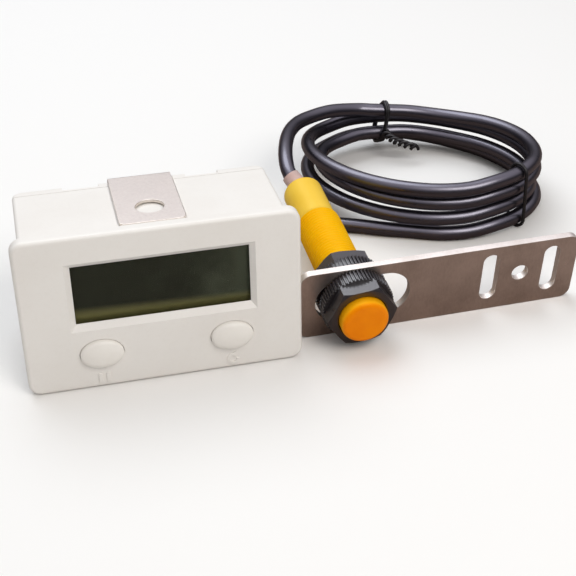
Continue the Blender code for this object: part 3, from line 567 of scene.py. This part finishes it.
def drum(name, centre, radius, low, high, sides=48, squash=1.0):
    """A round or oval bar along y."""
    made = turned(name, [(low, radius), (high, radius)], sides, centre)
    if squash != 1.0:
        enter(made)
        bpy.ops.transform.resize(value=(1.0, 1.0, squash),
                                 center_override=Vector((centre[0], 0.0, centre[1])) * MM)
        leave()
    return made


def round_edges(piece, test, radius, segments):
    """Rounds of a radius in mm along the edges that pass a test."""
    pick(piece, 'EDGE', test)
    bpy.ops.mesh.bevel(offset=radius * MM, offset_type='OFFSET', segments=segments, profile=0.5,
                       affect='EDGES', clamp_overlap=False)
    leave()


def merged(tools, name="tools"):
    """Several separate solids as one object."""
    alone(tools[0])
    for tool in tools[1:]:
        tool.select_set(True)
    if len(tools) > 1:
        bpy.ops.object.join()
    return named(name)


def shaped(piece, tools, operation='DIFFERENCE'):
    """Cuts solids that don't touch each other out of a piece, or joins them to it."""
    tool = merged(tools)
    alone(piece)
    step = piece.modifiers.new("shape", 'BOOLEAN')
    step.operation = operation
    step.solver = 'EXACT'
    step.object = tool
    bpy.ops.object.modifier_apply(modifier=step.name)
    bpy.data.objects.remove(tool, do_unlink=True)


def clip_tracks():
    """Cutters for the shallow tracks in the case's top and underside that the clip's legs run in."""
    left, right = CLIP_SPAN[0] - CLIP_TRACK, CLIP_SPAN[1] + CLIP_TRACK
    thick = 2.0
    past_cover = 40.0
    return [block("track", (left, CLIP_FRONT - CLIP_TRACK, z), (right, past_cover, z + thick))
            for z in (CASE[3] - CLIP_TRACK, CASE[2] + CLIP_TRACK - thick)]


housing = block("housing_front", (0.0, 0.0, 0.0), BEZEL)
round_edges(housing, lambda p, h: abs(h.y) > 0.9, BEZEL_CORNER, 10)
round_edges(housing, lambda p, h: p.y < 0.01, BEZEL_ROUND, 6)
case = slab("case", CASE, CASE_START, SEAM)
round_edges(case, lambda p, h: abs(h.y) > 0.9, CASE_EDGE, 4)
shaped(housing, [case], 'UNION')
shaped(housing, [slab("inside", narrowed(CASE, WALL), FRONT_WALL, SEAM + PAST)])
posts = [drum("post", p, COVER_POST_RADIUS, POST_START, COVER_POST_END, 24) for p in COVER_POSTS]
posts += [drum("post", p, BOARD_POST_RADIUS, POST_START, BOARD_POST_END, 24) for p in BOARD_POSTS]
shaped(housing, posts, 'UNION')
holes = [drum("hole", p, SCREW_CORE, SEAM - SCREW_DEPTH, SEAM + PAST, 16) for p in COVER_POSTS]
holes += [drum("hole", p, SCREW_CORE, BOARD_HOLE_START, BOARD_POST_END + PAST, 16)
          for p in BOARD_POSTS]
shaped(housing, holes)
shaped(housing, [slab("pocket", WINDOW_POCKET, WINDOW_LIP, FRONT_WALL + PAST)])
opening = slab("opening", WINDOW, -JUST_PAST, WINDOW_LIP - JUST_PAST)
middle = Vector((sum(WINDOW[:2]) / 2, 0.0, sum(WINDOW[2:]) / 2))
frame_middle = Vector((sum(WINDOW_FRAME[:2]) / 2, 0.0, sum(WINDOW_FRAME[2:]) / 2))
wider = (WINDOW_FRAME[1] - WINDOW_FRAME[0]) / (WINDOW[1] - WINDOW[0])
higher = (WINDOW_FRAME[3] - WINDOW_FRAME[2]) / (WINDOW[3] - WINDOW[2])
pick(opening, 'VERT', lambda p, h: p.y < 0.0)
bpy.ops.transform.resize(value=(wider, 1.0, higher), center_override=middle * MM)
bpy.ops.transform.translate(value=(frame_middle - middle) * MM)
leave()
pick(opening, 'FACE', lambda p, h: h.y > 0.9)
extrude_to((0.0, PAST, 0.0))
leave()
oval = (KEY_HALF_HEIGHT + KEY_GAP) / (KEY_HALF_WIDTH + KEY_GAP)
key_holes = [drum("key_hole", (x, KEY_HEIGHT), KEY_HALF_WIDTH + KEY_GAP, -PAST, FRONT_WALL + PAST, 96,
                  oval) for x in KEY_CENTRES.values()]
shaped(housing, [opening] + key_holes)
shaped(housing, clip_tracks())
soften(housing, EDGE_ROUND, 2, 35.0)
smooth_finish(housing)
WHITE_ABS = moulded("white_abs", paint(243, 240, 236), paint(238, 234, 229), 0.42, 0.35, 0.006, 16.0)
seat(housing, COUNTER, WHITE_ABS, "counter")
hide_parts("front_housing")

# Key signs: two bars and a circling arrow, raised from the bezel in the same moulding below the
# keys, so that they read only by their shading
SIGN_RISE = 0.35
SIGN_ROOT = 0.05
SIGN_HEIGHT = 2.75
BAR_PLACES = (-0.9, 0.9)
BAR_HALF_WIDTH = 0.45
BAR_HALF_HEIGHT = 1.25
RING_RADIUS = 1.5
RING_INSIDE = 0.85
RING_GAP = 2.0
ARROW_PLACE = (0.35, 1.18)
ARROW_RADIUS = 0.9
bars = []
for away in BAR_PLACES:
    x = KEY_CENTRES["pause"] + away
    bars.append(block("bar", (x - BAR_HALF_WIDTH, -SIGN_RISE, SIGN_HEIGHT - BAR_HALF_HEIGHT),
                      (x + BAR_HALF_WIDTH, SIGN_ROOT, SIGN_HEIGHT + BAR_HALF_HEIGHT)))
pause_sign = merged(bars, "pause_sign")
x, z = KEY_CENTRES["reset"], SIGN_HEIGHT
reset_sign = drum("reset_sign", (x, z), RING_RADIUS, -SIGN_RISE, SIGN_ROOT)
shaped(reset_sign, [drum("ring_inside", (x, z), RING_INSIDE, -PAST, PAST)])
shaped(reset_sign, [slab("ring_gap", (x, x + RING_GAP, z, z + RING_GAP), -PAST, PAST)])
x, z = x + ARROW_PLACE[0], z + ARROW_PLACE[1]
arrow = drum("arrow", (x, z), ARROW_RADIUS, -SIGN_RISE, SIGN_ROOT, 3)
enter(arrow)
bpy.ops.transform.rotate(value=math.pi / 2, orient_axis='Y',
                         center_override=Vector((x, 0.0, z)) * MM)
leave()
shaped(reset_sign, [arrow], 'UNION')
for sign in (pause_sign, reset_sign):
    soften(sign, 0.08)
    smooth_finish(sign)
    seat(sign, COUNTER, WHITE_ABS, "counter")

# Rear cover: the lid of the case with round corners, two notches over its snap tongues, a tray
# for the cell inside and a hole for the bush; two screws from behind hold it
COVER_REAR = 32.8
COVER_GAP = 0.15
COVER_CORNER = 2.3
NOTCH_SPANS = ((14.0, 22.8), (44.2, 52.4))
NOTCH_DEPTH = 2.0
NOTCH_HEIGHT = 2.2
TRAY = (4.6, 61.4, 13.2, 31.8)
TRAY_FRONT = 17.0
TRAY_REAR = 31.2
TRAY_WALL = 1.2
SCREW_SHANK = 1.4
SCREW_HEAD = 2.4
SCREW_HEAD_DEPTH = 1.2
BUSH_HOLE = 2.7
cover = slab("housing_cover", CASE, SEAM + COVER_GAP, COVER_REAR)
round_edges(cover, lambda p, h: abs(h.z) > 0.9 and p.y > COVER_REAR - 0.1, COVER_CORNER, 8)
round_edges(cover, lambda p, h: abs(h.z) < 0.1 and p.y > SEAM + 0.2 and
            not CASE[2] + 0.1 < p.z < CASE[3] - 0.1, CASE_EDGE, 4)
shaped(cover, [slab("tray", TRAY, TRAY_FRONT, TRAY_REAR)], 'UNION')
hollow = slab("hollow", narrowed(TRAY, TRAY_WALL), TRAY_FRONT - PAST, TRAY_REAR - 1.0)
cuts = [slab("notch", (left, right, CASE[3] - NOTCH_HEIGHT, CASE[3] + PAST), COVER_REAR - NOTCH_DEPTH,
             COVER_REAR + PAST) for left, right in NOTCH_SPANS]
screw_hole = [(SEAM - PAST, SCREW_SHANK), (COVER_REAR - SCREW_HEAD_DEPTH, SCREW_SHANK),
              (COVER_REAR - SCREW_HEAD_DEPTH, SCREW_HEAD), (COVER_REAR + PAST, SCREW_HEAD)]
cuts += [turned("screw_hole", screw_hole, 32, p) for p in COVER_POSTS]
cuts += [drum("bush_hole", BUSH_AXIS, BUSH_HOLE, SEAM - PAST, COVER_REAR + PAST)]
shaped(cover, [hollow] + cuts)
rear_track = block("track", (CLIP_SPAN[0] - CLIP_TRACK, COVER_REAR - CLIP_TRACK, CASE[2] - PAST),
                   (CLIP_SPAN[1] + CLIP_TRACK, COVER_REAR + PAST, CASE[3] + PAST))
for track in clip_tracks() + [rear_track]:
    shaped(cover, [track])
soften(cover, EDGE_ROUND, 2, 35.0)
smooth_finish(cover)
seat(cover, COUNTER, WHITE_ABS, "counter")
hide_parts("rear_cover")

# Keys: two white oval caps with a domed crown, each on a flange behind the bezel and a stem that
# works its switch
KEY_CROWN = 1.35
KEY_RISE = 0.55
KEY_FLANGE = (6.1, 4.2115)
KEY_FLANGE_FRONT = 2.7
KEY_FLANGE_THICK = 0.8
KEY_STEM = (1.6, 1.4974)
KEY_STEM_LENGTH = 0.8
KEY_WHITE = moulded("key_white", paint(249, 246, 241), paint(244, 240, 234), 0.36, 0.3, 0.004, 8.0)
crown = (1.0, KEY_CROWN / KEY_HALF_WIDTH, KEY_HALF_HEIGHT / KEY_HALF_WIDTH)
flange = (KEY_FLANGE[0] / KEY_HALF_WIDTH, 1.0, KEY_FLANGE[1] / KEY_HALF_HEIGHT)
stem = (KEY_STEM[0] / KEY_FLANGE[0], 1.0, KEY_STEM[1] / KEY_FLANGE[1])
for name, x in KEY_CENTRES.items():
    bpy.ops.mesh.primitive_uv_sphere_add(segments=64, ring_count=24, radius=KEY_HALF_WIDTH * MM,
                                         rotation=(math.pi / 2, 0.0, 0.0))
    key = settled(f"{name}_key_cap")
    enter(key)
    bpy.ops.mesh.bisect(plane_co=(0.0, 0.0, 0.0), plane_no=(0.0, 1.0, 0.0), clear_outer=True)
    bpy.ops.mesh.select_all(action='SELECT')
    bpy.ops.transform.resize(value=crown, center_override=(0.0, 0.0, 0.0))
    leave()
    pick(key, 'VERT', lambda p, h: p.y > -0.001)
    extrude_to((0.0, KEY_FLANGE_FRONT + KEY_RISE, 0.0))
    extrude_to((0.0, 0.0, 0.0), flange)
    extrude_to((0.0, KEY_FLANGE_THICK, 0.0))
    extrude_to((0.0, 0.0, 0.0), stem)
    extrude_to((0.0, KEY_STEM_LENGTH, 0.0))
    bpy.ops.mesh.edge_face_add()
    bpy.ops.mesh.select_all(action='SELECT')
    bpy.ops.mesh.remove_doubles(threshold=0.005 * MM)
    bpy.ops.transform.translate(value=(x * MM, -KEY_RISE * MM, KEY_HEIGHT * MM))
    finish_mesh()
    smooth_finish(key, 50.0)
    seat(key, COUNTER, KEY_WHITE, f"{name}_key")
    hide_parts(f"{name}_button")

# Display: a clear window pane behind the frame and the liquid crystal cell behind it, which is dark
# grey green with an olive band of unlit glass along its lower edge; a painted reflection lightens
# the cell towards the right
CELL = (11.6, 54.6, 16.0, 33.8)
CELL_DEPTH = (2.8, 5.6)
PANE = (10.3, 55.9, 14.9, 34.7)
PANE_DEPTH = (1.6, 2.5)
PANE_CORNER = 0.8
BAND_EDGE = (17.6, 20.6)
BAND_SLOPE = 0.029
BAND_PIVOT = 33.0
# How fast a painted reflection lightens the cell towards the right, per mm
CELL_PAINTED_SHEEN = 0.0125


def in_frame(start, place):
    """Places in mm in the counter's or the sensor's own frame, for patterns that follow it."""
    where = start.node("ShaderNodeTexCoord", output=3)
    local = start.node("ShaderNodeMapping", {"vector_type": 'TEXTURE'}, {
        "Vector": where, "Location": place.to_translation(), "Rotation": place.to_euler()})
    return local.node("ShaderNodeVectorMath", {"operation": 'SCALE'},
                      {"Vector": local, "Scale": 1 / MM})


def axes(vector):
    """The three parts of a vector."""
    split = vector.node("ShaderNodeSeparateXYZ", None, {"Vector": vector})
    return [Shade(vector.tree, socket) for socket in split.socket.node.outputs]


glass_cell, start, shader = new_finish("display_cell_glass", Roughness=0.16, Specular_IOR_Level=0.5,
                                       IOR=1.5)
across, _, up = axes(in_frame(start, COUNTER))
cloud = patches(start, 12.0, 3.0)
# Painted reflection: the cell's colour grows lighter towards the right, on top of its cloudy tone
tone = (cloud * 0.5 + (across - WINDOW[0]) * CELL_PAINTED_SHEEN).step(0.45, 0.85)
body = tone.between(paint(75, 77, 67), paint(122, 126, 110))
olive = cloud.between(paint(206, 192, 132), paint(194, 182, 124))
above_band = (up + (across - BAND_PIVOT) * BAND_SLOPE).step(*BAND_EDGE)
above_band.between(olive, body).into(shader, "Base Color")
relief_map(shader, patches(start, 0.35, 2.0), 0.002)
cell = slab("display_cell", CELL, *CELL_DEPTH)
soften(cell, 0.15)
smooth_finish(cell)
seat(cell, COUNTER, glass_cell, "counter")
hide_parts("display_glass")

pane_clear, start, shader = new_finish("window_pane_clear", Base_Color=paint(30, 34, 30))
smear = patches(start, 7.0, 4.0)
(smear * 0.05 + 0.04).into(shader, "Roughness")
clear = start.node("ShaderNodeBsdfTransparent", None, {"Color": (0.93, 0.95, 0.92, 1.0)})
gloss = start.node("ShaderNodeFresnel", None, {"IOR": 1.45})
surface = Shade(start.tree, shader.outputs["BSDF"])
both = start.node("ShaderNodeMixShader", None, {0: gloss, 1: clear, 2: surface})
both.into(start.tree.nodes["Material Output"], "Surface")
pane = slab("window_pane", PANE, *PANE_DEPTH)
round_edges(pane, lambda p, h: abs(h.y) > 0.9, PANE_CORNER, 4)
soften(pane, 0.1)
smooth_finish(pane)
seat(pane, COUNTER, pane_clear, "counter")
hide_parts("display_window")

# Panel clip: a bent strap of dull nickelled steel that grips the case from behind, with round
# corners in front and a hole in each leg
CLIP_THICK = 0.8
CLIP_BEND = 0.9
CLIP_CORNER = 1.5
CLIP_HOLE = Vector((33.2, 15.3, 20.0))
CLIP_HOLE_RADIUS = 3.45
CLIP_HOLE_DEPTH = 60.0
top = CASE[3] + CLIP_THICK / 2
low = CASE[2] - CLIP_THICK / 2
rear = COVER_REAR + CLIP_THICK / 2
bpy.ops.mesh.primitive_plane_add(
    size=1.0, location=Vector((sum(CLIP_SPAN) / 2, (rear + CLIP_FRONT) / 2, top)) * MM)
bpy.context.object.scale = ((CLIP_SPAN[1] - CLIP_SPAN[0]) * MM, (rear - CLIP_FRONT) * MM, 1.0)
clip = settled("spring_clip")
pick(clip, 'EDGE', lambda p, h: p.y > rear - 0.01)
extrude_to((0.0, 0.0, low - top))
extrude_to((0.0, CLIP_FRONT - rear, 0.0))
leave()
round_edges(clip, lambda p, h: abs(h.x) > 0.9 and p.y > rear - 0.01, CLIP_BEND, 8)
pick(clip, 'VERT', lambda p, h: p.y < CLIP_FRONT + 0.01)
bpy.ops.mesh.bevel(offset=CLIP_CORNER * MM, offset_type='OFFSET', segments=8, affect='VERTICES')
finish_mesh()
sheet = clip.modifiers.new("sheet", 'SOLIDIFY')
sheet.thickness = CLIP_THICK * MM
sheet.offset = 0.0
sheet.use_even_offset = True
bpy.ops.object.modifier_apply(modifier=sheet.name)
bpy.ops.mesh.primitive_cylinder_add(vertices=64, radius=CLIP_HOLE_RADIUS * MM,
                                    depth=CLIP_HOLE_DEPTH * MM, location=CLIP_HOLE * MM)
shaped(clip, [named("hole")])
soften(clip, EDGE_ROUND, 2, 50.0)
smooth_finish(clip)
clip_steel, start, shader = new_finish("clip_steel", Metallic=1.0)
tone = patches(start, 5.0, 6.0, 0.6)
fleck = patches(start, 0.8, 3.0, 0.6)
mottle = (tone * 0.6 + fleck * 0.4).step(0.25, 0.8)
mottle.between(paint(243, 236, 227), paint(218, 210, 202)).into(shader, "Base Color")
(tone * 0.2 + fleck * 0.1 + 0.28).into(shader, "Roughness")
relief_map(shader, fleck, 0.012)
seat(clip, COUNTER, clip_steel, "clip")
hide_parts("panel_clip")

# Bracket: a strip of 2 mm zinc-plated steel, blanked with round corners, a long slot for the
# sensor, two adjusting slots and a hole; its cut edges are bright
BRACKET = (-13.9, 59.8, -10.45, 9.25)
BRACKET_THICK = 2.0
BRACKET_CORNER = 2.8
SENSOR_SLOT = (-3.65, 8.3)
SENSOR_SLOT_RADIUS = 6.3
SMALL_SLOTS = (36.12, 52.74)
SMALL_SLOT = 4.78
SMALL_SLOT_RADIUS = 2.15
SMALL_HOLE = (44.46, 0.0)
SMALL_HOLE_RADIUS = 2.2
STREAK_SCALE = (1.6, 1.0, 0.7)
bracket = slab("slotted_bracket", BRACKET, 0.0, BRACKET_THICK)
round_edges(bracket, lambda p, h: abs(h.y) > 0.9, BRACKET_CORNER, 12)


def slot_cutter(low, high, radius):
    """A long round-ended cutter through the bracket, drawn out from half of a turned bar."""
    start, end = Vector((low[0], 0.0, low[1])), Vector((high[0], 0.0, high[1]))
    heading = (end - start).normalized()
    cutter = drum("slot", low, radius, -PAST, BRACKET_THICK + PAST, 64)
    pick(cutter, 'VERT', lambda p, h: (p - start).dot(heading) > 0.01)
    bpy.ops.transform.translate(value=(end - start) * MM)
    leave()
    return cutter


cutters = [slot_cutter((SENSOR_SLOT[0], 0.0), (SENSOR_SLOT[1], 0.0), SENSOR_SLOT_RADIUS)]
cutters += [slot_cutter((x, -SMALL_SLOT), (x, SMALL_SLOT), SMALL_SLOT_RADIUS) for x in SMALL_SLOTS]
cutters += [drum("hole", SMALL_HOLE, SMALL_HOLE_RADIUS, -PAST, BRACKET_THICK + PAST)]
shaped(bracket, cutters)
soften(bracket, 0.16, 2, 50.0)
smooth_finish(bracket)


def plated(name, bright, dull, roughness):
    """Zinc-plated steel: fine streaks along its rolling direction, cloudy gloss."""
    made, start, shader = new_finish(name, Metallic=1.0)
    place = in_frame(start, SENSOR)
    drawn = place.node("ShaderNodeVectorMath", {"operation": 'MULTIPLY'},
                       {0: place, 1: STREAK_SCALE})
    streak = start.node("ShaderNodeTexNoise", None, {
        "Vector": drawn, "Scale": 1.0, "Detail": 6.0, "Roughness": 0.65})
    cloud = patches(start, 7.0, 4.0)
    (streak * 0.4 + cloud * 0.6).step(0.3, 0.75).between(bright, dull).into(shader, "Base Color")
    (streak * 0.16 + cloud * 0.12 + (roughness - 0.12)).into(shader, "Roughness")
    relief_map(shader, streak, 0.006)
    return made


PLATE_FACE = plated("bracket_face", paint(236, 226, 217), paint(206, 195, 186), 0.3)
PLATE_EDGE = plated("bracket_edge", paint(238, 233, 226), paint(216, 209, 201), 0.5)
seat(bracket, SENSOR, PLATE_FACE, "bracket")
bracket.data.materials.append(PLATE_EDGE)
facing = SENSOR.to_3x3() @ Vector((0.0, 1.0, 0.0))
for face in bracket.data.polygons:
    face.material_index = 0 if abs(face.normal.dot(facing)) > 0.95 else 1
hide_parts("bracket_plate")

# Sensor barrel: moulded yellow plastic with a fine outside thread of 1 mm pitch, a smooth tail
# with a rounded rim and a bore for the switch inside
THREAD_RADIUS = 6.0
THREAD_ROOT = 5.55
PITCH = 1.0
TAIL_RADIUS = 5.4
TAIL_ROUND = 1.2
BARREL_FRONT = -6.8
THREAD_END = 31.8
BARREL_REAR = 47.8
THREAD_PROFILE = [(0.0, THREAD_ROOT), (0.1, THREAD_ROOT), (0.38, 5.97), (0.5, THREAD_RADIUS),
                  (0.62, 5.97), (0.9, THREAD_ROOT), (PITCH, THREAD_ROOT)]
THREAD_STEPS = 64
# The thread is wound a few turns too long and then turned down to its length with sloping ends
THREAD_EARLY = 2.0
THREAD_SPARE_TURNS = 4
RUNOUT_STAGES = [(BARREL_FRONT - 1.0, 7.5), (BARREL_FRONT, 5.6), (BARREL_FRONT + 0.5, 6.1),
                 (THREAD_END - 0.5, 6.1), (THREAD_END, 5.5), (THREAD_END + 1.0, 5.4)]
TAIL_STAGES = [(THREAD_END - 1.5, 4.9), (THREAD_END - 1.5, TAIL_RADIUS), (BARREL_REAR, TAIL_RADIUS)]
BORE_STAGES = [(BARREL_FRONT - 1.0, 4.5), (BARREL_REAR - 2.4, 4.5), (BARREL_REAR - 2.4, 3.4),
               (BARREL_REAR + 1.0, 3.4)]
bpy.ops.mesh.primitive_plane_add(size=0.001, location=(THREAD_ROOT * MM, 0.0, 0.0))
barrel = settled("sensor_thread")
enter(barrel)
bpy.ops.mesh.merge(type='CENTER')
place = Vector((THREAD_ROOT, 0.0, 0.0))
for along, radius in THREAD_PROFILE[1:]:
    spot = Vector((radius, along, 0.0))
    extrude_to(spot - place)
    place = spot
leave()
alone(barrel)
wound = barrel.modifiers.new("thread", 'SCREW')
wound.axis = 'Y'
wound.angle = 2 * math.pi
wound.screw_offset = PITCH * MM
wound.iterations = round((THREAD_END - BARREL_FRONT) / PITCH) + THREAD_SPARE_TURNS
wound.steps = wound.render_steps = THREAD_STEPS
wound.use_merge_vertices = True
wound.merge_threshold = 0.01 * MM
bpy.ops.object.modifier_apply(modifier=wound.name)
enter(barrel)
bpy.ops.transform.translate(value=(0.0, (BARREL_FRONT - THREAD_EARLY) * MM, 0.0))
bpy.ops.mesh.remove_doubles(threshold=0.01 * MM)
bpy.ops.mesh.fill_holes(sides=0)
finish_mesh()
shaped(barrel, [turned("runout", RUNOUT_STAGES, 96)], 'INTERSECT')
tail = turned("tail", TAIL_STAGES, 96)
round_edges(tail, lambda p, h: p.y > BARREL_REAR - 0.01, TAIL_ROUND, 8)
shaped(barrel, [tail], 'UNION')
shaped(barrel, [turned("bore", BORE_STAGES)])
smooth_finish(barrel, 45.0)
barrel_yellow, start, shader = new_finish("barrel_yellow", Specular_IOR_Level=0.3,
                                          Specular_Tint=(1.0, 0.84, 0.25, 1.0))
_, along, _ = axes(in_frame(start, SENSOR))
on_tail = along.step(THREAD_END - 0.8, THREAD_END + 0.8)
cloud = patches(start, 9.0, 4.0)
threaded = cloud.step(0.3, 0.75).between(paint(252, 196, 0), paint(248, 184, 0))
# The tail's paler yellow is a painted highlight of its gloss; its lower roughness below is real
plain = cloud.step(0.3, 0.75).between(paint(248, 206, 74), paint(243, 198, 62))
on_tail.between(threaded, plain).into(shader, "Base Color")
(cloud * 0.14 - on_tail * 0.1 + 0.35).into(shader, "Roughness")
relief_map(shader, patches(start, 0.4, 3.0, 0.6), 0.006)
seat(barrel, SENSOR, barrel_yellow, "counter")
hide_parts("sensor_barrel")

# Sensing cap: an orange plastic cap pressed into the barrel's front, with a rounded rim
CAP_FRONT = -10.0
CAP_ROUND = 1.2
CAP_STAGES = [(CAP_FRONT, THREAD_RADIUS), (BARREL_FRONT - 0.2, THREAD_RADIUS),
              (BARREL_FRONT - 0.2, 4.2), (BARREL_FRONT + 2.0, 4.2)]
cap = turned("sensor_cap", CAP_STAGES, 96)
round_edges(cap, lambda p, h: p.y < CAP_FRONT + 0.01, CAP_ROUND, 10)
smooth_finish(cap, 50.0)
cap_orange, start, shader = new_finish("cap_orange", Specular_IOR_Level=0.24,
                                       Specular_Tint=(1.0, 0.72, 0.2, 1.0))
_, along, _ = axes(in_frame(start, SENSOR))
cloud = patches(start, 5.0, 4.0)
face = cloud.step(0.3, 0.75).between(paint(252, 142, 0), paint(244, 130, 0))
# The rim behind the front face is painted a lighter, yellower orange: a painted highlight where light
# falls on it
painted_rim_highlight = along.step(CAP_FRONT + 0.1, CAP_FRONT + 1.1)
painted_rim_highlight.between(face, paint(255, 176, 12)).into(shader, "Base Color")
(cloud * 0.14 + 0.3).into(shader, "Roughness")
relief_map(shader, patches(start, 0.35, 3.0, 0.6), 0.006)
seat(cap, SENSOR, cap_orange, "counter")
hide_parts("sensing_cap")

# Nuts: two glossy black plastic nuts on the sensor's thread, each a flange with sixty fine grip
# ribs against the bracket and a chamfered hexagon beyond it, moulded in one
FLANGE_RADIUS = 9.1
FLANGE_THICK = 3.4
RIBS = 60
RIB_DEPTH = 0.45
RIB_POINTS = 6
HEX_END = 7.1
HEX_FLATS = 15.6
HEX_TURN = math.radians(25.0)
HEX_RADIUS = HEX_FLATS / 2 / math.cos(math.pi / 6)
CHAMFER_STAGES = [(FLANGE_THICK - 1.0, 10.0), (HEX_END - 0.75, 9.3), (HEX_END, 8.0),
                  (HEX_END + 1.0, 6.3)]
THREAD_HOLE_STAGES = [(-1.0, 6.9), (0.6, 6.05), (HEX_END - 0.5, 6.05), (HEX_END + 1.0, 7.2)]
NUT_GAP = 0.3
NUT_BLACK = moulded("nut_plastic", paint(22, 20, 24), paint(36, 33, 38), 0.3, 0.3, 0.01, 6.0,
                    Specular_IOR_Level=1.0, IOR=1.6)
bpy.ops.mesh.primitive_circle_add(vertices=RIBS * RIB_POINTS, radius=FLANGE_RADIUS * MM,
                                  fill_type='NOTHING', rotation=(math.pi / 2, 0.0, 0.0))
nut = settled("ribbed_nut")
step_angle = 2 * math.pi / (RIBS * RIB_POINTS)
pick(nut, 'VERT', lambda p, h: round(math.atan2(p.z, p.x) / step_angle) % RIB_POINTS in (3, 4, 5))
share = (FLANGE_RADIUS - RIB_DEPTH) / FLANGE_RADIUS
bpy.ops.transform.resize(value=(share, 1.0, share), center_override=(0.0, 0.0, 0.0))
bpy.ops.mesh.select_all(action='SELECT')
bpy.ops.mesh.edge_face_add()
extrude_to((0.0, FLANGE_THICK, 0.0))
finish_mesh()
hexagon = turned("hexagon", [(FLANGE_THICK - 0.5, HEX_RADIUS), (HEX_END, HEX_RADIUS)], 6)
enter(hexagon)
bpy.ops.transform.rotate(value=HEX_TURN, orient_axis='Y', center_override=(0.0, 0.0, 0.0))
leave()
shaped(hexagon, [turned("chamfer", CHAMFER_STAGES, 96)], 'INTERSECT')
shaped(nut, [hexagon], 'UNION')
shaped(nut, [turned("thread_hole", THREAD_HOLE_STAGES)])
soften(nut, EDGE_ROUND, 2, 24.0)
smooth_finish(nut)
for name, start_y, turn in (("front", -NUT_GAP, math.pi), ("rear", BRACKET_THICK + NUT_GAP, 0.0)):
    made = nut.copy()
    made.data = nut.data.copy()
    made.name = made.data.name = f"{name}_ribbed_nut"
    bpy.context.collection.objects.link(made)
    place = SENSOR @ Matrix.Translation((0.0, start_y * MM, 0.0)) @ Matrix.Rotation(turn, 4, 'Z')
    seat(made, place, NUT_BLACK, f"{name}_nut")
    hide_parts(f"{name}_nut")
bpy.data.objects.remove(nut, do_unlink=True)

# Inner parts: the CAD's own solids have the right shape, so they keep it and take the finish of
# what they are: plated steel, green board, black and white plastic, rubber, a printed cell sleeve
inner = {
    "zinc_steel": plated("inner_steel", paint(214, 210, 204), paint(186, 180, 174), 0.32),
    "board_green": moulded("board_green", paint(30, 96, 48), paint(24, 80, 40), 0.4, 0.6, 0.02, 5.0),
    "switch_black": moulded("switch_black", paint(34, 33, 35), paint(50, 48, 51), 0.5, 0.3, 0.01,
                            5.0),
    "holder_white": moulded("holder_white", paint(232, 230, 226), paint(222, 219, 214), 0.5),
    "rubber_grey": RUBBER,
    "cell_sleeve": moulded("cell_sleeve", paint(42, 96, 56), paint(54, 112, 68), 0.3, 0.4, 0.004,
                           8.0),
    "clear_window": moulded("reed_glass", paint(190, 205, 198), paint(176, 192, 184), 0.12, 0.4,
                            0.002, 4.0),
}
for row in frame["record"]["subparts"]:
    if row["material_slot"] in inner:
        node = frame["nodes"][row["node"]]
        for slot in node.material_slots:
            slot.material = inner[row["material_slot"]]

# Studio: a pale table that is white to the camera and keeps the shadows, one soft lamp above and
# behind and another at the front right, and a pale surround; in reflections the table is dark and
# the room dim near the horizon, so that steel and black plastic keep their contrast
FLOOR_SIZE = 4.0
FLOOR_DROP = 0.02


def by_ray(start, plain, mirrored, seen):
    """A colour for light in general, another in reflections and a third to the camera."""
    in_mirror = start.node("ShaderNodeLightPath", output=3)
    to_camera = start.node("ShaderNodeLightPath")
    return to_camera.between(in_mirror.between(plain, mirrored), seen)


def soft_lamp(name, place, aim, size, power, colour):
    """A round lamp of a size in metres and a power in watts, turned towards an aim."""
    light = bpy.data.lights.new(name, 'AREA')
    light.shape = 'DISK'
    light.size = size
    light.energy = power
    light.color = colour
    lamp = bpy.data.objects.new(name, light)
    bpy.context.collection.objects.link(lamp)
    lamp.location = place
    lamp.rotation_euler = (Vector(aim) - Vector(place)).to_track_quat('-Z', 'Y').to_euler()


floor_white, start, shader = new_finish("floor_white", Roughness=0.9)
by_ray(start, paint(226, 224, 221), paint(130, 112, 104), paint(248, 247, 246)).into(
    shader, "Base Color")
bpy.ops.mesh.primitive_plane_add(size=FLOOR_SIZE, location=(0.0, 0.0, -FLOOR_DROP * MM))
floor = settled("studio_floor")
floor.data.materials.append(floor_white)
soft_lamp("overhead_lamp", (-0.1, 0.3, 0.62), (0.0, 0.02, 0.0), 0.6, 2.4, (0.95, 1.0, 1.05))
soft_lamp("front_lamp", (0.2, -0.44, 0.6), (-0.02, 0.0, 0.02), 0.45, 2.35, (1.0, 0.965, 0.92))
world = bpy.data.worlds.new("studio_surround")
world.use_nodes = True
background = world.node_tree.nodes["Background"]
background.inputs["Strength"].default_value = 0.42
surround = Shade(world.node_tree)
_, _, height = axes(surround.node("ShaderNodeTexCoord"))
room = height.step(0.1, 0.85).between((0.1, 0.095, 0.11, 1.0), (2.4, 2.25, 2.45, 1.0))
by_ray(surround, (0.95, 0.93, 0.91, 1.0), room, (2.2, 2.19, 2.17, 1.0)).into(background, "Color")
bpy.context.scene.world = world
